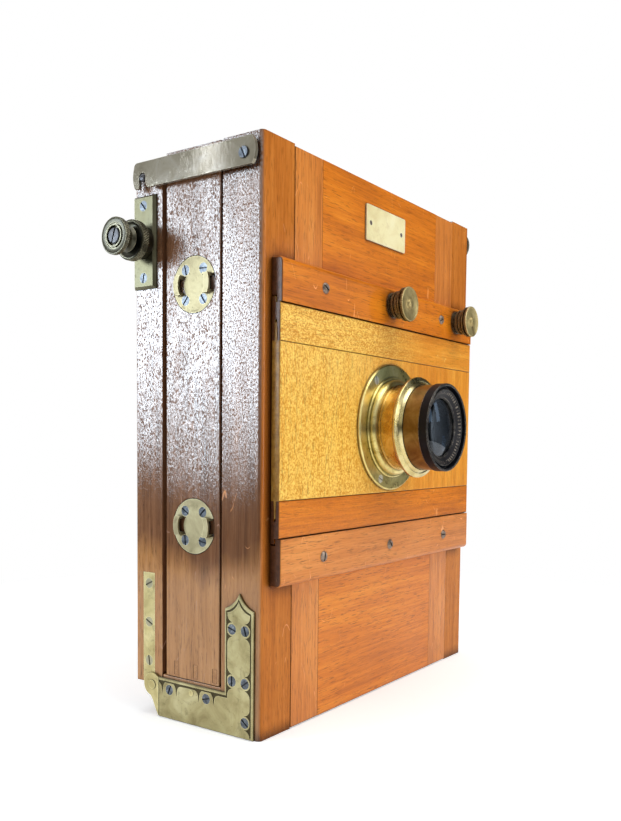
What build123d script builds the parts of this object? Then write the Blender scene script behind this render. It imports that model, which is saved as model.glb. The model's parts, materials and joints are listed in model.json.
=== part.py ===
from build123d import *
import math
import os

# View camera of the square-bellows field type, folded shut.
# Millimetres. +Z up, the lens looks along -Y, the focusing knob is on the -X side.
# Origin: centre of the tripod bush, in the plane of the camera's underside.

# ---- Driving dimensions -------------------------------------------------------------

# Whole body
body_width = 203.5
body_height = 268.0
base_height = 20.8
base_depth = 39.5
wood_clearance = 0.3        # between wooden pieces that slide past each other
shaft_clearance = 0.05      # radial, round a turning shaft

# Front frame
stile_width = 22.5
stile_depth = 22.8
stile_rear_width = 43.0     # the stile is L-shaped: its rear leg carries the bellows
stile_edge_round = 2.2
front_rail_top_height = 30.0
front_rail_bottom_height = 52.0

# Rising front
panel_thickness = 9.0
panel_drop = 1.0            # the panel's top edge sits this far below the stiles' tops
panel_foot = 0.5
panel_cleat_width = 21.6
panel_tongue_depth = 4.0
panel_tongue_thickness = 3.0

# Battens that carry the lens board
batten_inset = 6.3          # from the side of the body to the batten's end
batten_thickness = 6.0
batten_edge_round = 2.4
batten_rebate_depth = 2.9
batten_rebate_height = 2.9
upper_batten_bottom = 195.5
upper_batten_height = 19.5
lower_batten_bottom = 69.2
lower_batten_height = 21.6
upper_screw_places = (-62.8, 54.8)
lower_screw_places = (-62.0, 0.0, 62.5)

# Lens board
board_inset = 5.8
board_lip_thickness = 2.3
board_front_thickness = 2.7
board_lip_height = 2.5
board_cleat_height = 16.8
board_tongue_length = 8.0
board_tongue_thickness = 1.3
lens_shift_travel = 20.0

# Lens, on an axis at this height
lens_height = 142.3
flange_radius = 33.1
flange_thickness = 1.5
flange_collar_radius = 26.4
flange_collar_length = 1.0
flange_boss_radius = 25.0
flange_boss_length = 3.2
flange_screw_circle = 29.4
neck_radius = 22.3
neck_length = 10.0
tube_radius = 20.0          # inner tube that the iris ring turns on
tube_bore_radius = 17.5
iris_ring_radius = 26.0
iris_ring_thickness = 1.6
iris_step_radius = 23.6
iris_step_length = 2.2
front_barrel_radius = 21.9
front_barrel_length = 9.0
hood_radius = 22.4
hood_length = 5.0
hood_wall = 1.2
front_glass_radius = 15.4
front_glass_recess = 4.6    # from the hood's rim back to the rim of the glass
front_glass_bulge = 2.0
front_glass_edge = 3.0
rear_glass_radius = 15.4
rear_glass_edge = 3.0
rear_glass_bulge = 1.4
rear_rim_depth = 1.5        # from the cell's back face to the rim of the glass
glass_seat_clearance = 0.1
rear_cell_length = 12.0     # how far the rear cell stands behind the board
iris_opening_radius = 7.0
iris_blade_count = 8
iris_blade_thickness = 0.15
iris_leaf_cut_radius = 12.0
iris_leaf_trim = 5.0        # from the lens axis to the straight edge of a leaf

# Clamp knobs on the upper batten
clamp_rise = 10.7           # above the upper batten's lower edge
shift_clamp_x = -1.0
rise_clamp_x = 73.9         # clear of the stile's seam, so that its stud passes the cleat
clamp_cap_radius = 8.9
clamp_stem_radius = 7.1
clamp_length = 11.4
clamp_foot_gap = 0.1
clamp_stud_radius = 1.8

# Rear standard
standard_gap = 1.4          # behind the front frame
standard_depth = 34.0
standard_top_drop = 0.3
standard_side_thickness = 12.0
standard_board_thickness = 8.0
tenon_thickness = 2.8
tenon_pitch = 12.2
tenon_setback = 2.2         # the tenons stand this far in front of the boards' middle
inner_frame_thickness = 5.0
screen_frame_thickness = 9.6
screen_opening_width = 126.0
screen_opening_height = 176.0
screen_lap = 2.8            # how far the glass lies on its rebate
screen_glass_thickness = 2.0
screen_clip_width = 9.0
screen_clip_reach = 7.0     # from the glass's edge onto the frame
screen_clip_spread = 62.0   # above and below the screen's centre
bellows_wall = 16.0

# Tailboard, which folds up behind the standard
tail_gap = 2.6
tail_depth = 17.8
tail_end_clearance = 0.4     # between the tailboard's lower end and the height of its pivot
tail_top_drop = 1.3         # the tailboard ends this far below the body's top
tail_rail_width = 21.0
tail_panel_thickness = 2.0
tail_bottom_rail_height = 25.0
tail_top_rail_height = 26.0
pivot_inset = 5.8           # from the tailboard's inner face, and below the base's top

# Sliding bed frame with its racks
slider_thickness = 7.3      # the racks' teeth stand just proud of it, clear of the cross rails
slider_runner_width = 24.4
slider_bar_height = 26.0
slider_end_gap = 2.6
slider_tongue_depth = 2.6
slider_tongue_thickness = 2.2
slider_travel = 120.0
rack_width = 6.0
rack_depth = 4.3
rack_end = 8.0              # rack beyond the pinion's centre, at both ends of the travel

# Pinion, focusing knob and lock ring
tooth_module = 0.8
pinion_teeth = 10
pinion_width = 5.0
shaft_radius = 2.5
knob_drop = 38.9            # from the tailboard's top down to the pinion's axis
knob_radius = 8.6
knob_disc_length = 2.4
knob_reach = 20.2           # from the side of the body to the knob's face
lock_radius = 9.5
lock_disc_length = 3.6
lock_reach = 10.8
lock_hub_radius = 7.4

# Brass sheet fittings
sheet_thickness = 1.2
bracket_setback = 3.0       # behind the front plane
bracket_arm_width = 16.8
bracket_shoulder = 58.4
bracket_tip = 65.7
bracket_foot_height = 19.2
bracket_border = 1.75       # from the bracket's edge to its raised field
bracket_rim = 1.0           # plain rim outside the engraved border
bracket_engraving = 0.25
bracket_upper_row = 49.2    # heights of its rows of screws
bracket_lower_row = 25.3
bracket_foot_row = 14.2
bracket_toe_row = 7.4
ear_radius = 5.6
ear_rivet_radius = 1.4
ear_rivet_setback = 21.8    # in front of the base's rear face
ear_rivet_height = 15.3
hinge_pin_radius = 1.5
strip_thickness = 1.5
strip_width = 7.7
strip_top = 69.7
focus_plate_thickness = 2.0
focus_plate_width = 14.4
focus_plate_length = 43.8
focus_plate_rise = 0.5      # its middle stands this far above the pinion's axis
focus_plate_bevel = 1.4

# Latch straps
latch_height = 12.0
latch_thickness = 1.8
latch_standoff = 2.2
latch_pivot_depth = 7.3     # behind the front plane
latch_pivot_drop = 9.9      # below the body's top
latch_front_reach = 6.2
latch_rear_reach = 68.4
latch_pin_radius = 1.5
latch_pin_depth = 70.0      # behind the front plane
latch_pin_drop = 10.3       # below the body's top
latch_slot_width = 4.2

# Handle plates, let into the left side of the standard
handle_radius = 12.9
handle_thickness = 1.5
handle_upper_drop = 62.2    # below the body's top
handle_lower_z = 94.3
handle_setback = 1.0        # the plates stand this far in front of the side's middle
handle_window_height = 8.4
handle_window_inner = 6.4   # from the plate's centre
handle_bridge_inner = 8.2
handle_bridge_outer = 11.0
handle_bridge_rise = 2.4
handle_bridge_thickness = 1.0

# Name plate
name_plate_width = 39.4
name_plate_height = 18.0
name_plate_thickness = 0.9
name_plate_place = 31.6 / 52.0    # share of the way from the upper batten to the panel's top
name_plate_screw_pitch = 31.2

# Degrees by which the slot of a row's first screw is turned
first_slot_turn = 20.0
next_slot_turn = 53.0
right_bracket_slot_turn = 70.0
upper_handle_slot_turn = 35.0
lower_handle_slot_turn = 80.0
batten_slot_turn = 60.0
flange_slot_turn = 15.0

# Wood screws: head radius, head height, shank radius, length under the head
fitting_screw = (2.45, 1.1, 1.3, 8.0)
batten_screw = (2.6, 1.2, 1.4, 9.5)
small_screw = (1.2, 0.6, 0.7, 4.0)
flange_screw = (2.1, 0.9, 1.1, 4.2)

# Tripod bush
bush_flange_radius = 16.0
bush_flange_thickness = 2.0
bush_radius = 8.0
bush_length = 14.0
bush_hole_radius = 3.75     # core of a 3/8 inch Whitworth thread
bush_screw_circle = 12.0

# ---- Places worked out from the dimensions ------------------------------------------

side_x = body_width / 2
front_y = -(stile_depth + base_depth / 2)
stile_back_y = front_y + stile_depth
base_back_y = stile_back_y + base_depth
standard_front_y = stile_back_y + standard_gap
standard_back_y = standard_front_y + standard_depth
standard_bottom_z = base_height + wood_clearance
standard_top_z = body_height - standard_top_drop
tail_inner_y = standard_back_y + tail_gap
tail_outer_y = tail_inner_y + tail_depth
pivot_y = tail_inner_y + pivot_inset
pivot_z = base_height - pivot_inset
tail_bottom = pivot_z + tail_end_clearance
tail_top = body_height - tail_top_drop
knob_height = tail_top - knob_drop
focus_plate_z = knob_height + focus_plate_rise
clamp_height = upper_batten_bottom + clamp_rise
latch_pivot_z = body_height - latch_pivot_drop
latch_pin_z = body_height - latch_pin_drop
handle_upper_z = body_height - handle_upper_drop
upper_batten_top = upper_batten_bottom + upper_batten_height
panel_top = body_height - panel_drop
name_plate_z = upper_batten_top + name_plate_place * (panel_top - upper_batten_top)
stile_inner_x = side_x - stile_width

panel_front_y = front_y - wood_clearance
panel_back_y = panel_front_y + panel_thickness
panel_edge_x = stile_inner_x - wood_clearance
rail_front_y = panel_back_y + wood_clearance
batten_front_y = panel_front_y - batten_thickness
board_back_y = panel_front_y - wood_clearance
board_front_y = board_back_y - board_lip_thickness - board_front_thickness
board_bottom_z = lower_batten_bottom + lower_batten_height + wood_clearance
board_top_z = upper_batten_bottom - wood_clearance

inner_frame_back_y = standard_back_y - screen_frame_thickness - wood_clearance
inner_frame_front_y = inner_frame_back_y - inner_frame_thickness
standard_inner_x = side_x - standard_side_thickness
standard_floor_z = standard_bottom_z + standard_board_thickness
standard_ceiling_z = standard_top_z - standard_board_thickness
screen_z = (standard_floor_z + standard_ceiling_z) / 2
handle_centre_y = (standard_front_y + standard_back_y) / 2 - handle_setback

slider_back_y = tail_inner_y + slider_thickness
tail_panel_front_y = tail_outer_y - tail_panel_thickness
tail_rail_inner_x = side_x - tail_rail_width
runner_outer_x = side_x - tail_rail_width / 2 - wood_clearance
runner_inner_x = runner_outer_x - slider_runner_width
knob_y = tail_outer_y - focus_plate_width / 2
pinion_pitch_radius = tooth_module * pinion_teeth / 2
rack_pitch_y = knob_y - pinion_pitch_radius
rack_x = runner_inner_x + rack_width


# ---- Helpers ------------------------------------------------------------------------

def block(x0, x1, y0, y1, z0, z1):
    """Box between two opposite corners."""
    centre = Pos((x0 + x1) / 2, (y0 + y1) / 2, (z0 + z1) / 2)
    return centre * Box(abs(x1 - x0), abs(y1 - y0), abs(z1 - z0))


def rod(start, direction, radius, length):
    """Cylinder from a start point along a direction."""
    base = Plane(origin=start, z_dir=direction)
    return base * extrude(Circle(radius), length)


def side_sheet(outline, x0, x1):
    """Sheet parallel to the camera's side: the outline is drawn in (y, z)."""
    return extrude(Plane.YZ.offset(min(x0, x1)) * outline, abs(x1 - x0))


def outline(*points):
    """Closed face through straight points."""
    return make_face(Polyline(*points, close=True))


def turned_front(points, x, z, back_y):
    """Turned piece on an axis along -Y. Points are (radius, distance in front of back_y)."""
    profile = outline(*[(radius, -distance) for radius, distance in points])
    return Pos(x, back_y, z) * revolve(profile, Axis.Y)


def turned_left(points, y, z, start_x):
    """Turned piece on an axis along -X. Points are (radius, distance left of start_x)."""
    profile = outline(*[(-distance, radius) for radius, distance in points])
    return Pos(start_x, y, z) * revolve(profile, Axis.X)


def mirrored(shape):
    """The same piece on the other side of the camera."""
    return mirror(shape, Plane.YZ)


def slotted_screw(place, facing, size, turn=0.0, domed=False):
    """Wood screw: the head's rim lies at place, the shank runs away from facing."""
    head_radius, head_height, shank_radius, shank_length = size
    head = Pos(0, 0, -head_height / 2) * Cylinder(head_radius, head_height)
    if domed:
        head = head + Pos(0, 0, 0) * extrude(Circle(head_radius), head_height * 0.75, taper=38)
    top = head_height * 0.75 if domed else 0.0
    slot_depth = 0.45 * head_height
    slot = Rot(0, 0, turn) * Pos(0, 0, top) * Box(2.2 * head_radius, 0.3 * head_radius, 2 * slot_depth)
    shank = Pos(0, 0, -head_height) * extrude(Circle(shank_radius), -shank_length)
    return Plane(origin=place, z_dir=facing) * (head - slot + shank)


def pilot_hole(place, facing, size):
    """The space that a screw's shank takes, and its head where it is sunk."""
    head_radius, head_height, shank_radius, shank_length = size
    head = Pos(0, 0, -head_height / 2) * Cylinder(head_radius, head_height)
    shank = Pos(0, 0, -head_height) * extrude(Circle(shank_radius), -shank_length)
    return Plane(origin=place, z_dir=facing) * (head + shank)


def screws(places, facing, size, first_turn=first_slot_turn, domed=False):
    """A row of screws whose slots all stand at different angles."""
    return [
        slotted_screw(place, facing, size, first_turn + next_slot_turn * index, domed)
        for index, place in enumerate(places)
    ]


def drilled(shape, places, facing, size):
    """The shape with a pilot hole for each screw."""
    for place in places:
        shape = shape - pilot_hole(place, facing, size)
    return shape


def save(name, *shapes):
    """Write one sub-part, of one or more solids, to parts/name.step."""
    solids = [solid for shape in shapes for solid in shape.solids()]
    part = solids[0] if len(solids) == 1 else Compound(solids)
    part.label = name
    export_step(part, f"parts/{name}.step")


LEFT = (-1, 0, 0)
RIGHT = (1, 0, 0)
FRONT = (0, -1, 0)
DOWN = (0, 0, -1)


# ---- Fastener places ----------------------------------------------------------------

def bracket_screw_places():
    """Screws of the left corner bracket."""
    x = -side_x - sheet_thickness
    near = front_y + bracket_setback + 4.7
    far = near + 7.7
    places = [(x, y, z) for z in (bracket_upper_row, bracket_lower_row) for y in (near, far)]
    foot = [(x, near + reach, bracket_foot_row) for reach in (23.4, 47.2)]
    return places + [(x, near, bracket_toe_row)] + foot


def handle_screw_places(z):
    """Four screws of one handle plate."""
    y = handle_centre_y
    return [(-side_x, y + dy, z + dz) for dy in (-5.5, 5.5) for dz in (-6.9, 6.9)]


def bush_screw_places():
    """Three screws of the tripod bush."""
    angles = [math.radians(90 + 120 * index) for index in range(3)]
    return [(bush_screw_circle * math.cos(a), bush_screw_circle * math.sin(a), 0) for a in angles]


def strip_screw_places():
    """Three screws of the left hinge strip."""
    y = pivot_y + strip_width / 2 - 0.6
    top = strip_top - 5.3
    return [(-side_x, y, z) for z in (top - 38.2, top - 19.1, top)]


def focus_plate_screw_places():
    """Two screws of the left focus plate."""
    x = -side_x - focus_plate_thickness
    reach = focus_plate_length / 2 - 5.0
    return [(x, knob_y, focus_plate_z - reach), (x, knob_y, focus_plate_z + reach)]


def batten_screw_places():
    """Round-headed screws of both battens."""
    upper_z = upper_batten_bottom + upper_batten_height / 2 + 0.5
    lower_z = lower_batten_bottom + lower_batten_height / 2
    upper = [(x, batten_front_y, upper_z) for x in upper_screw_places]
    return upper + [(x, batten_front_y, lower_z) for x in lower_screw_places]


def name_plate_screw_places():
    """Two small screws through the name plate."""
    y = panel_front_y - name_plate_thickness
    reach = name_plate_screw_pitch / 2
    return [(-reach, y, name_plate_z), (reach, y, name_plate_z)]


def flange_screw_places():
    """Three screws of the lens flange."""
    angles = [math.radians(126 + 120 * index) for index in range(3)]
    y = board_front_y - flange_thickness
    return [
        (flange_screw_circle * math.cos(a), y, lens_height + flange_screw_circle * math.sin(a))
        for a in angles
    ]


# ---- Front frame and base -----------------------------------------------------------

def front_stile():
    """Left stile of the front frame, with the groove that the rising panel runs in."""
    front_leg = block(-side_x, -stile_inner_x, front_y, stile_back_y, 0, body_height)
    rear_leg = block(-side_x, -(side_x - stile_rear_width), rail_front_y, stile_back_y, 0, body_height)
    groove_y = panel_front_y + (panel_thickness - panel_tongue_thickness) / 2
    groove = block(
        -stile_inner_x, -stile_inner_x - panel_tongue_depth,
        groove_y - wood_clearance, groove_y + panel_tongue_thickness + wood_clearance,
        -1, body_height + 1,
    )
    top_rail = front_rail(body_height - front_rail_top_height, body_height)
    bottom_rail = front_rail(0, front_rail_bottom_height)
    stile = front_leg + rear_leg - groove - top_rail - bottom_rail
    corner = [
        edge for edge in stile.edges().filter_by(Axis.Z)
        if abs(edge.center().X + side_x) < 0.01 and abs(edge.center().Y - front_y) < 0.01
    ]
    stile = fillet(corner, stile_edge_round)
    stile = drilled(stile, bracket_screw_places(), LEFT, fitting_screw)
    return stile - latch_pivot_hole()


def front_rail(z0, z1):
    """Cross rail of the front frame, between the stiles' front legs."""
    return block(-stile_inner_x, stile_inner_x, rail_front_y, stile_back_y, z0, z1)


def base_board():
    """Board that the standard stands on, with the stub that carries the hinge."""
    stub_y = pivot_y - 0.2
    stub_top = pivot_z - 3.0
    shoulder_y = tail_inner_y - wood_clearance
    profile = outline(
        (stile_back_y, 0), (base_back_y, 0), (stub_y, 7.3), (stub_y, stub_top),
        (shoulder_y, stub_top), (shoulder_y, base_height), (stile_back_y, base_height),
    )
    board = side_sheet(profile, -side_x, side_x)
    board = board - tripod_bush_pocket() - ear_tang() - mirrored(ear_tang())
    board = drilled(board, bracket_screw_places(), LEFT, fitting_screw)
    right_places = [(-x, y, z) for x, y, z in bracket_screw_places()]
    board = drilled(board, right_places, RIGHT, fitting_screw)
    return drilled(board, bush_screw_places(), DOWN, fitting_screw)


def tripod_bush_pocket():
    """Recess in the base for the bush and its flange."""
    flange = rod((0, 0, 0), (0, 0, 1), bush_flange_radius + shaft_clearance, bush_flange_thickness)
    barrel = rod((0, 0, 0), (0, 0, 1), bush_radius + shaft_clearance, bush_length)
    return flange + barrel


def tripod_bush():
    """Threaded bush, flush with the underside; the thread is drawn at its core radius."""
    flange = rod((0, 0, 0), (0, 0, 1), bush_flange_radius, bush_flange_thickness)
    barrel = rod((0, 0, 0), (0, 0, 1), bush_radius, bush_length)
    hole = rod((0, 0, -1), (0, 0, 1), bush_hole_radius, bush_length + 2)
    return drilled(flange + barrel - hole, bush_screw_places(), DOWN, fitting_screw)


# ---- Corner brackets and hinges -----------------------------------------------------

def bracket_outline(inset=0.0):
    """L with an ogee tip, in (y, z). The inset is taken off the front, rear and upper edges."""
    front = front_y + bracket_setback + inset
    rear = front_y + bracket_setback + bracket_arm_width - inset
    middle = (front + rear) / 2
    end = base_back_y - 0.1
    foot_top = bracket_foot_height - inset
    shoulder = bracket_shoulder - inset
    tip = bracket_tip - 2 * inset
    cove = 2.2
    edges = [
        Line((front, 0), (front, shoulder)),
        ThreePointArc((front, shoulder), ((front + middle) / 2 + 0.6, (shoulder + tip) / 2 - cove + 1.2),
                      (middle, tip)),
        ThreePointArc((middle, tip), ((rear + middle) / 2 - 0.6, (shoulder + tip) / 2 - cove + 1.2),
                      (rear, shoulder)),
        Line((rear, shoulder), (rear, foot_top)),
        Line((rear, foot_top), (end, foot_top)),
        Line((end, foot_top), (end, 0)),
        Line((end, 0), (front, 0)),
    ]
    return make_face(edges)


def rounded_panel(y0, y1, z0, z1, radius):
    """Rectangle with rounded corners, between two corners in (y, z)."""
    middle = Pos((y0 + y1) / 2, (z0 + z1) / 2)
    return middle * RectangleRounded(y1 - y0, z1 - z0, radius)


def bracket_field():
    """Raised field inside the engraved border: panels between rings round the screws."""
    front = front_y + bracket_setback + bracket_border
    rear = front_y + bracket_setback + bracket_arm_width - bracket_border
    screws_y = sorted({y for _, y, _ in bracket_screw_places()})
    near, far, foot_screws = screws_y[0], screws_y[1], screws_y[2:]
    beyond = base_back_y + 20
    foot_top = bracket_foot_height - bracket_border - 0.4
    notch_tip = 11.7            # the pointed notches between the foot's panels end here
    corner = 3.4
    foot_corner = 2.9
    ring = 3.1
    foot_ring = 4.3
    gap = ring + 0.2            # from a row of screws to the panels beside it
    field = rounded_panel(near, beyond, -9, bracket_foot_row, 1.0)
    for bottom, top in (
        (bracket_upper_row + gap, bracket_tip + 8),
        (bracket_lower_row + gap, bracket_upper_row - gap),
        (bracket_toe_row + gap, bracket_lower_row - gap),
        (-9, bracket_toe_row - gap),
    ):
        field = field + rounded_panel(front, rear, bottom, top, corner)
    for row in (bracket_upper_row, bracket_lower_row):
        field = field + rounded_panel(near, far, row - gap - 1, row + gap + 1, 0.5)
    for _, y, z in bracket_screw_places():
        field = field + Pos(y, z) * Circle(foot_ring if y in foot_screws else ring)
    notch_width = 0.7
    reach = foot_ring + notch_width / 2  # from a foot screw to the notches beside it
    notches = [y + side * reach for y in foot_screws for side in (-1, 1)]
    panel_ends = [rear - 2 * corner, *notches, beyond]
    for start, end in zip(panel_ends[0::2], panel_ends[1::2]):
        start, end = start + notch_width / 2, end - notch_width / 2
        field = field + rounded_panel(start, end, bracket_foot_row - 8, foot_top, foot_corner)
    for y in notches:
        top, half = bracket_foot_row + 0.3, notch_width / 2 + 0.05
        field = field - outline((y - half, top), (y + half, top), (y, notch_tip))
    return field & bracket_outline(bracket_border)


def corner_bracket():
    """Left corner bracket: sheet brass with a bevelled edge and an engraved border."""
    plate = side_sheet(bracket_outline(), -side_x, -side_x - sheet_thickness)
    outer = plate.faces().sort_by(Axis.X)[0]
    plate = chamfer(outer.edges(), 0.35)
    border = bracket_outline(bracket_rim) - bracket_field()
    face_x = -side_x - sheet_thickness
    engraving = side_sheet(border, face_x - 1, face_x + bracket_engraving)
    foot_edge = block(face_x - 1, face_x + 1, front_y, base_back_y + 1, -1, bracket_rim)
    plate = plate - (engraving - foot_edge) - ear_rivet_hole()
    return drilled(plate, bracket_screw_places(), LEFT, fitting_screw)


def ear_tang():
    """Part of the left hinge ear that is let into the base, under the corner bracket."""
    start = base_back_y - 24
    inner_x = -side_x + sheet_thickness
    upper = block(-side_x, inner_x, start, tail_inner_y - 0.8, 5.5, 18.0)
    return upper + block(-side_x, inner_x, start, base_back_y + 1.8, 5.5, 12.0)


def ear_rivet_place():
    """Centre of the left rivet that joins ear and corner bracket, at the bracket's outer face."""
    return (-side_x - sheet_thickness, base_back_y - ear_rivet_setback, ear_rivet_height)


def ear_rivet_hole():
    """Hole of the left rivet, through bracket and tang."""
    x, y, z = ear_rivet_place()
    return rod((x - 1, y, z), RIGHT, ear_rivet_radius, 2 * sheet_thickness + 1)


def ear_rivet():
    """Left rivet, its head hardly proud of the bracket."""
    x, y, z = ear_rivet_place()
    return rod((x - 0.15, y, z), RIGHT, ear_rivet_radius, 2 * sheet_thickness + 0.15)


def hinge_ear():
    """Left hinge ear: a brass plate on the base's tail, rounded about the pivot."""
    start = base_back_y
    foot = outline(
        (start, 0.2), (start + 1.9, 3.2), (pivot_y - 0.3, 7.6), (pivot_y + 1.0, pivot_z - ear_radius),
        (pivot_y, pivot_z + ear_radius - 0.1), (start, bracket_foot_height),
    )
    bracket_side = Pos(start - 10, pivot_z) * Rectangle(20, 40)
    face = foot + Pos(pivot_y, pivot_z) * Circle(ear_radius) - bracket_side
    plate = side_sheet(face, -side_x, -side_x - sheet_thickness)
    pin_hole = rod((-side_x + 5, pivot_y, pivot_z), LEFT, hinge_pin_radius, 20)
    ear = plate + ear_tang() - pin_hole - ear_rivet_hole()
    return drilled(ear, bracket_screw_places(), LEFT, fitting_screw)


def hinge_pin():
    """Left hinge pin: riveted in the ear, it carries the tailboard's strip."""
    inner_x = -side_x + strip_thickness
    shank = rod((inner_x, pivot_y, pivot_z), LEFT, hinge_pin_radius, strip_thickness + sheet_thickness)
    head = rod((-side_x - sheet_thickness, pivot_y, pivot_z), LEFT, 2.2, 0.35)
    return shank + head


# ---- Rear standard ------------------------------------------------------------------

def tenon_places():
    """Depths of the through tenons at each corner of the standard."""
    middle = (standard_front_y + standard_back_y) / 2 - tenon_setback
    return [middle + tenon_pitch * step for step in (-1, 0, 1)]


def standard_board(z0, z1, tenon_z0, tenon_z1):
    """Top or bottom board of the standard, tenoned through both sides."""
    board = block(-standard_inner_x, standard_inner_x, standard_front_y, standard_back_y, z0, z1)
    for y in tenon_places():
        half = tenon_thickness / 2
        board = board + block(-side_x, side_x, y - half, y + half, tenon_z0, tenon_z1)
    return board


def standard_bottom():
    """Bottom board of the rear standard."""
    z0 = standard_bottom_z
    return standard_board(z0, standard_floor_z, z0 + 1.0, standard_floor_z - 0.5)


def standard_top():
    """Top board of the rear standard."""
    z1 = standard_top_z
    return standard_board(standard_ceiling_z, z1, standard_ceiling_z + 0.5, z1 - 1.0)


def standard_side():
    """Left side of the rear standard."""
    side = block(
        -side_x, -standard_inner_x, standard_front_y, standard_back_y, standard_bottom_z, standard_top_z
    )
    side = side - standard_bottom() - standard_top()
    long_edges = [
        edge for edge in side.edges().filter_by(Axis.Z)
        if abs(edge.center().X + side_x) < 0.01 and edge.length > body_height / 2
    ]
    return fillet(long_edges, 0.6)


def standard_side_with_plates():
    """Left side, recessed for the two handle plates."""
    side = standard_side()
    for z in (handle_upper_z, handle_lower_z):
        y = handle_centre_y
        recess = rod((-side_x + handle_thickness, y, z), LEFT, handle_radius + 0.35, 5)
        side = side - recess - side_sheet(handle_windows(z), -side_x - 1, -side_x + 4.0)
        side = drilled(side, handle_screw_places(z), LEFT, fitting_screw)
    return side


def handle_windows(z):
    """The two windows under a handle plate's bridges, open to the rim, in (y, z)."""
    ring = Pos(handle_centre_y, z) * (Circle(handle_radius + 0.2) - Circle(handle_window_inner))
    return ring & (Pos(handle_centre_y, z) * Rectangle(3 * handle_radius, handle_window_height))


def handle_plate(z):
    """Round brass plate with two raised bridges that a carrying strap hooks round."""
    centre = Pos(handle_centre_y, z)
    disc = rod((-side_x + handle_thickness, handle_centre_y, z), LEFT, handle_radius, handle_thickness)
    disc = disc - side_sheet(handle_windows(z), -side_x - 1, -side_x + handle_thickness + 1)
    ring = centre * (Circle(handle_bridge_outer) - Circle(handle_bridge_inner))
    foot = 0.3
    bridge_face = ring & (centre * Rectangle(3 * handle_radius, handle_window_height + 2 * foot))
    gap_face = centre * Rectangle(3 * handle_radius, handle_window_height - 2 * handle_bridge_thickness)
    top_x = -side_x - handle_bridge_rise
    bridges = side_sheet(bridge_face, top_x, top_x + handle_bridge_thickness)
    posts = side_sheet(bridge_face - gap_face, top_x, -side_x + handle_thickness)
    return drilled(disc + bridges + posts, handle_screw_places(z), LEFT, fitting_screw)


def frame_members(half_width, half_height, opening_w, opening_h, y0, y1, z):
    """Four butt-jointed members round an opening: two uprights, then two cross members."""
    half_w = opening_w / 2
    half_h = opening_h / 2
    uprights = [
        block(sign * half_w, sign * half_width, y0, y1, z - half_height, z + half_height)
        for sign in (-1, 1)
    ]
    crosses = [
        block(-half_w, half_w, y0, y1, z + sign * half_h, z + sign * half_height) for sign in (-1, 1)
    ]
    return uprights + crosses


def inner_frame():
    """Frame inside the standard that holds the bellows' rear end."""
    half_height = (standard_ceiling_z - standard_floor_z) / 2
    return frame_members(
        standard_inner_x, half_height, screen_opening_width, screen_opening_height,
        inner_frame_front_y, inner_frame_back_y, screen_z,
    )


def screen_glass_y():
    """Front face of the ground glass."""
    return inner_frame_back_y + wood_clearance + 2.6


def screen_frame():
    """Wooden frame of the focusing screen, rebated from the rear for the glass."""
    half_height = (standard_ceiling_z - standard_floor_z) / 2 - wood_clearance
    rebate = block(
        -screen_opening_width / 2 - screen_lap - 0.2, screen_opening_width / 2 + screen_lap + 0.2,
        screen_glass_y(), standard_back_y + 1,
        screen_z - screen_opening_height / 2 - screen_lap - 0.2,
        screen_z + screen_opening_height / 2 + screen_lap + 0.2,
    )
    members = frame_members(
        standard_inner_x - wood_clearance, half_height, screen_opening_width, screen_opening_height,
        inner_frame_back_y + wood_clearance, standard_back_y, screen_z,
    )
    return [member - rebate - Compound(screen_clips()) for member in members]


def screen_glass():
    """Ground glass pane."""
    half_w = screen_opening_width / 2 + screen_lap
    half_h = screen_opening_height / 2 + screen_lap
    y = screen_glass_y()
    return block(-half_w, half_w, y, y + screen_glass_thickness, screen_z - half_h, screen_z + half_h)


def screen_clips():
    """Four brass clips in the rebate's corners, which hold the ground glass from behind."""
    y = screen_glass_y() + screen_glass_thickness
    edge = screen_opening_width / 2 + screen_lap
    return [
        block(
            side * (edge - screen_lap), side * (edge + screen_clip_reach), y, y + sheet_thickness,
            screen_z + level - screen_clip_width / 2, screen_z + level + screen_clip_width / 2,
        )
        for side in (-1, 1) for level in (-screen_clip_spread, screen_clip_spread)
    ]


def bellows():
    """Folded leather bellows, as one plain hollow block between its two frames."""
    inner_w = screen_opening_width + 2.0
    inner_h = screen_opening_height - 4.0
    outer = block(
        -inner_w / 2 - bellows_wall, inner_w / 2 + bellows_wall, stile_back_y, inner_frame_front_y,
        screen_z - inner_h / 2 - bellows_wall, screen_z + inner_h / 2 + bellows_wall,
    )
    inner = block(
        -inner_w / 2, inner_w / 2, stile_back_y - 1, inner_frame_front_y + 1,
        screen_z - inner_h / 2, screen_z + inner_h / 2,
    )
    return outer - inner


# ---- Rising front -------------------------------------------------------------------

def panel_z_range():
    """Bottom and top of the rising panel at rest."""
    return panel_foot, panel_top


def lens_slot():
    """Slot in the rising panel that lets the rear cell shift sideways."""
    radius = rear_cell_radius() + 2.0
    slot = SlotCenterToCenter(2 * lens_shift_travel, 2 * radius)
    slot_face = Plane(origin=(0, panel_back_y + 1, lens_height), x_dir=RIGHT, z_dir=FRONT) * slot
    return extrude(slot_face, panel_thickness + 2)


def rear_cell_radius():
    """Outside of the rear cell, which screws into the barrel's bore."""
    return tube_bore_radius - shaft_clearance


def rising_panel():
    """Centre board of the rising front."""
    bottom, top = panel_z_range()
    inner_x = panel_edge_x - panel_cleat_width
    board = block(-inner_x, inner_x, panel_front_y, panel_back_y, bottom, top)
    board = board - lens_slot() - shift_clamp_bore() - shift_nut_plate()
    board = drilled(board, batten_screw_places(), FRONT, batten_screw)
    return drilled(board, name_plate_screw_places(), FRONT, small_screw)


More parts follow.
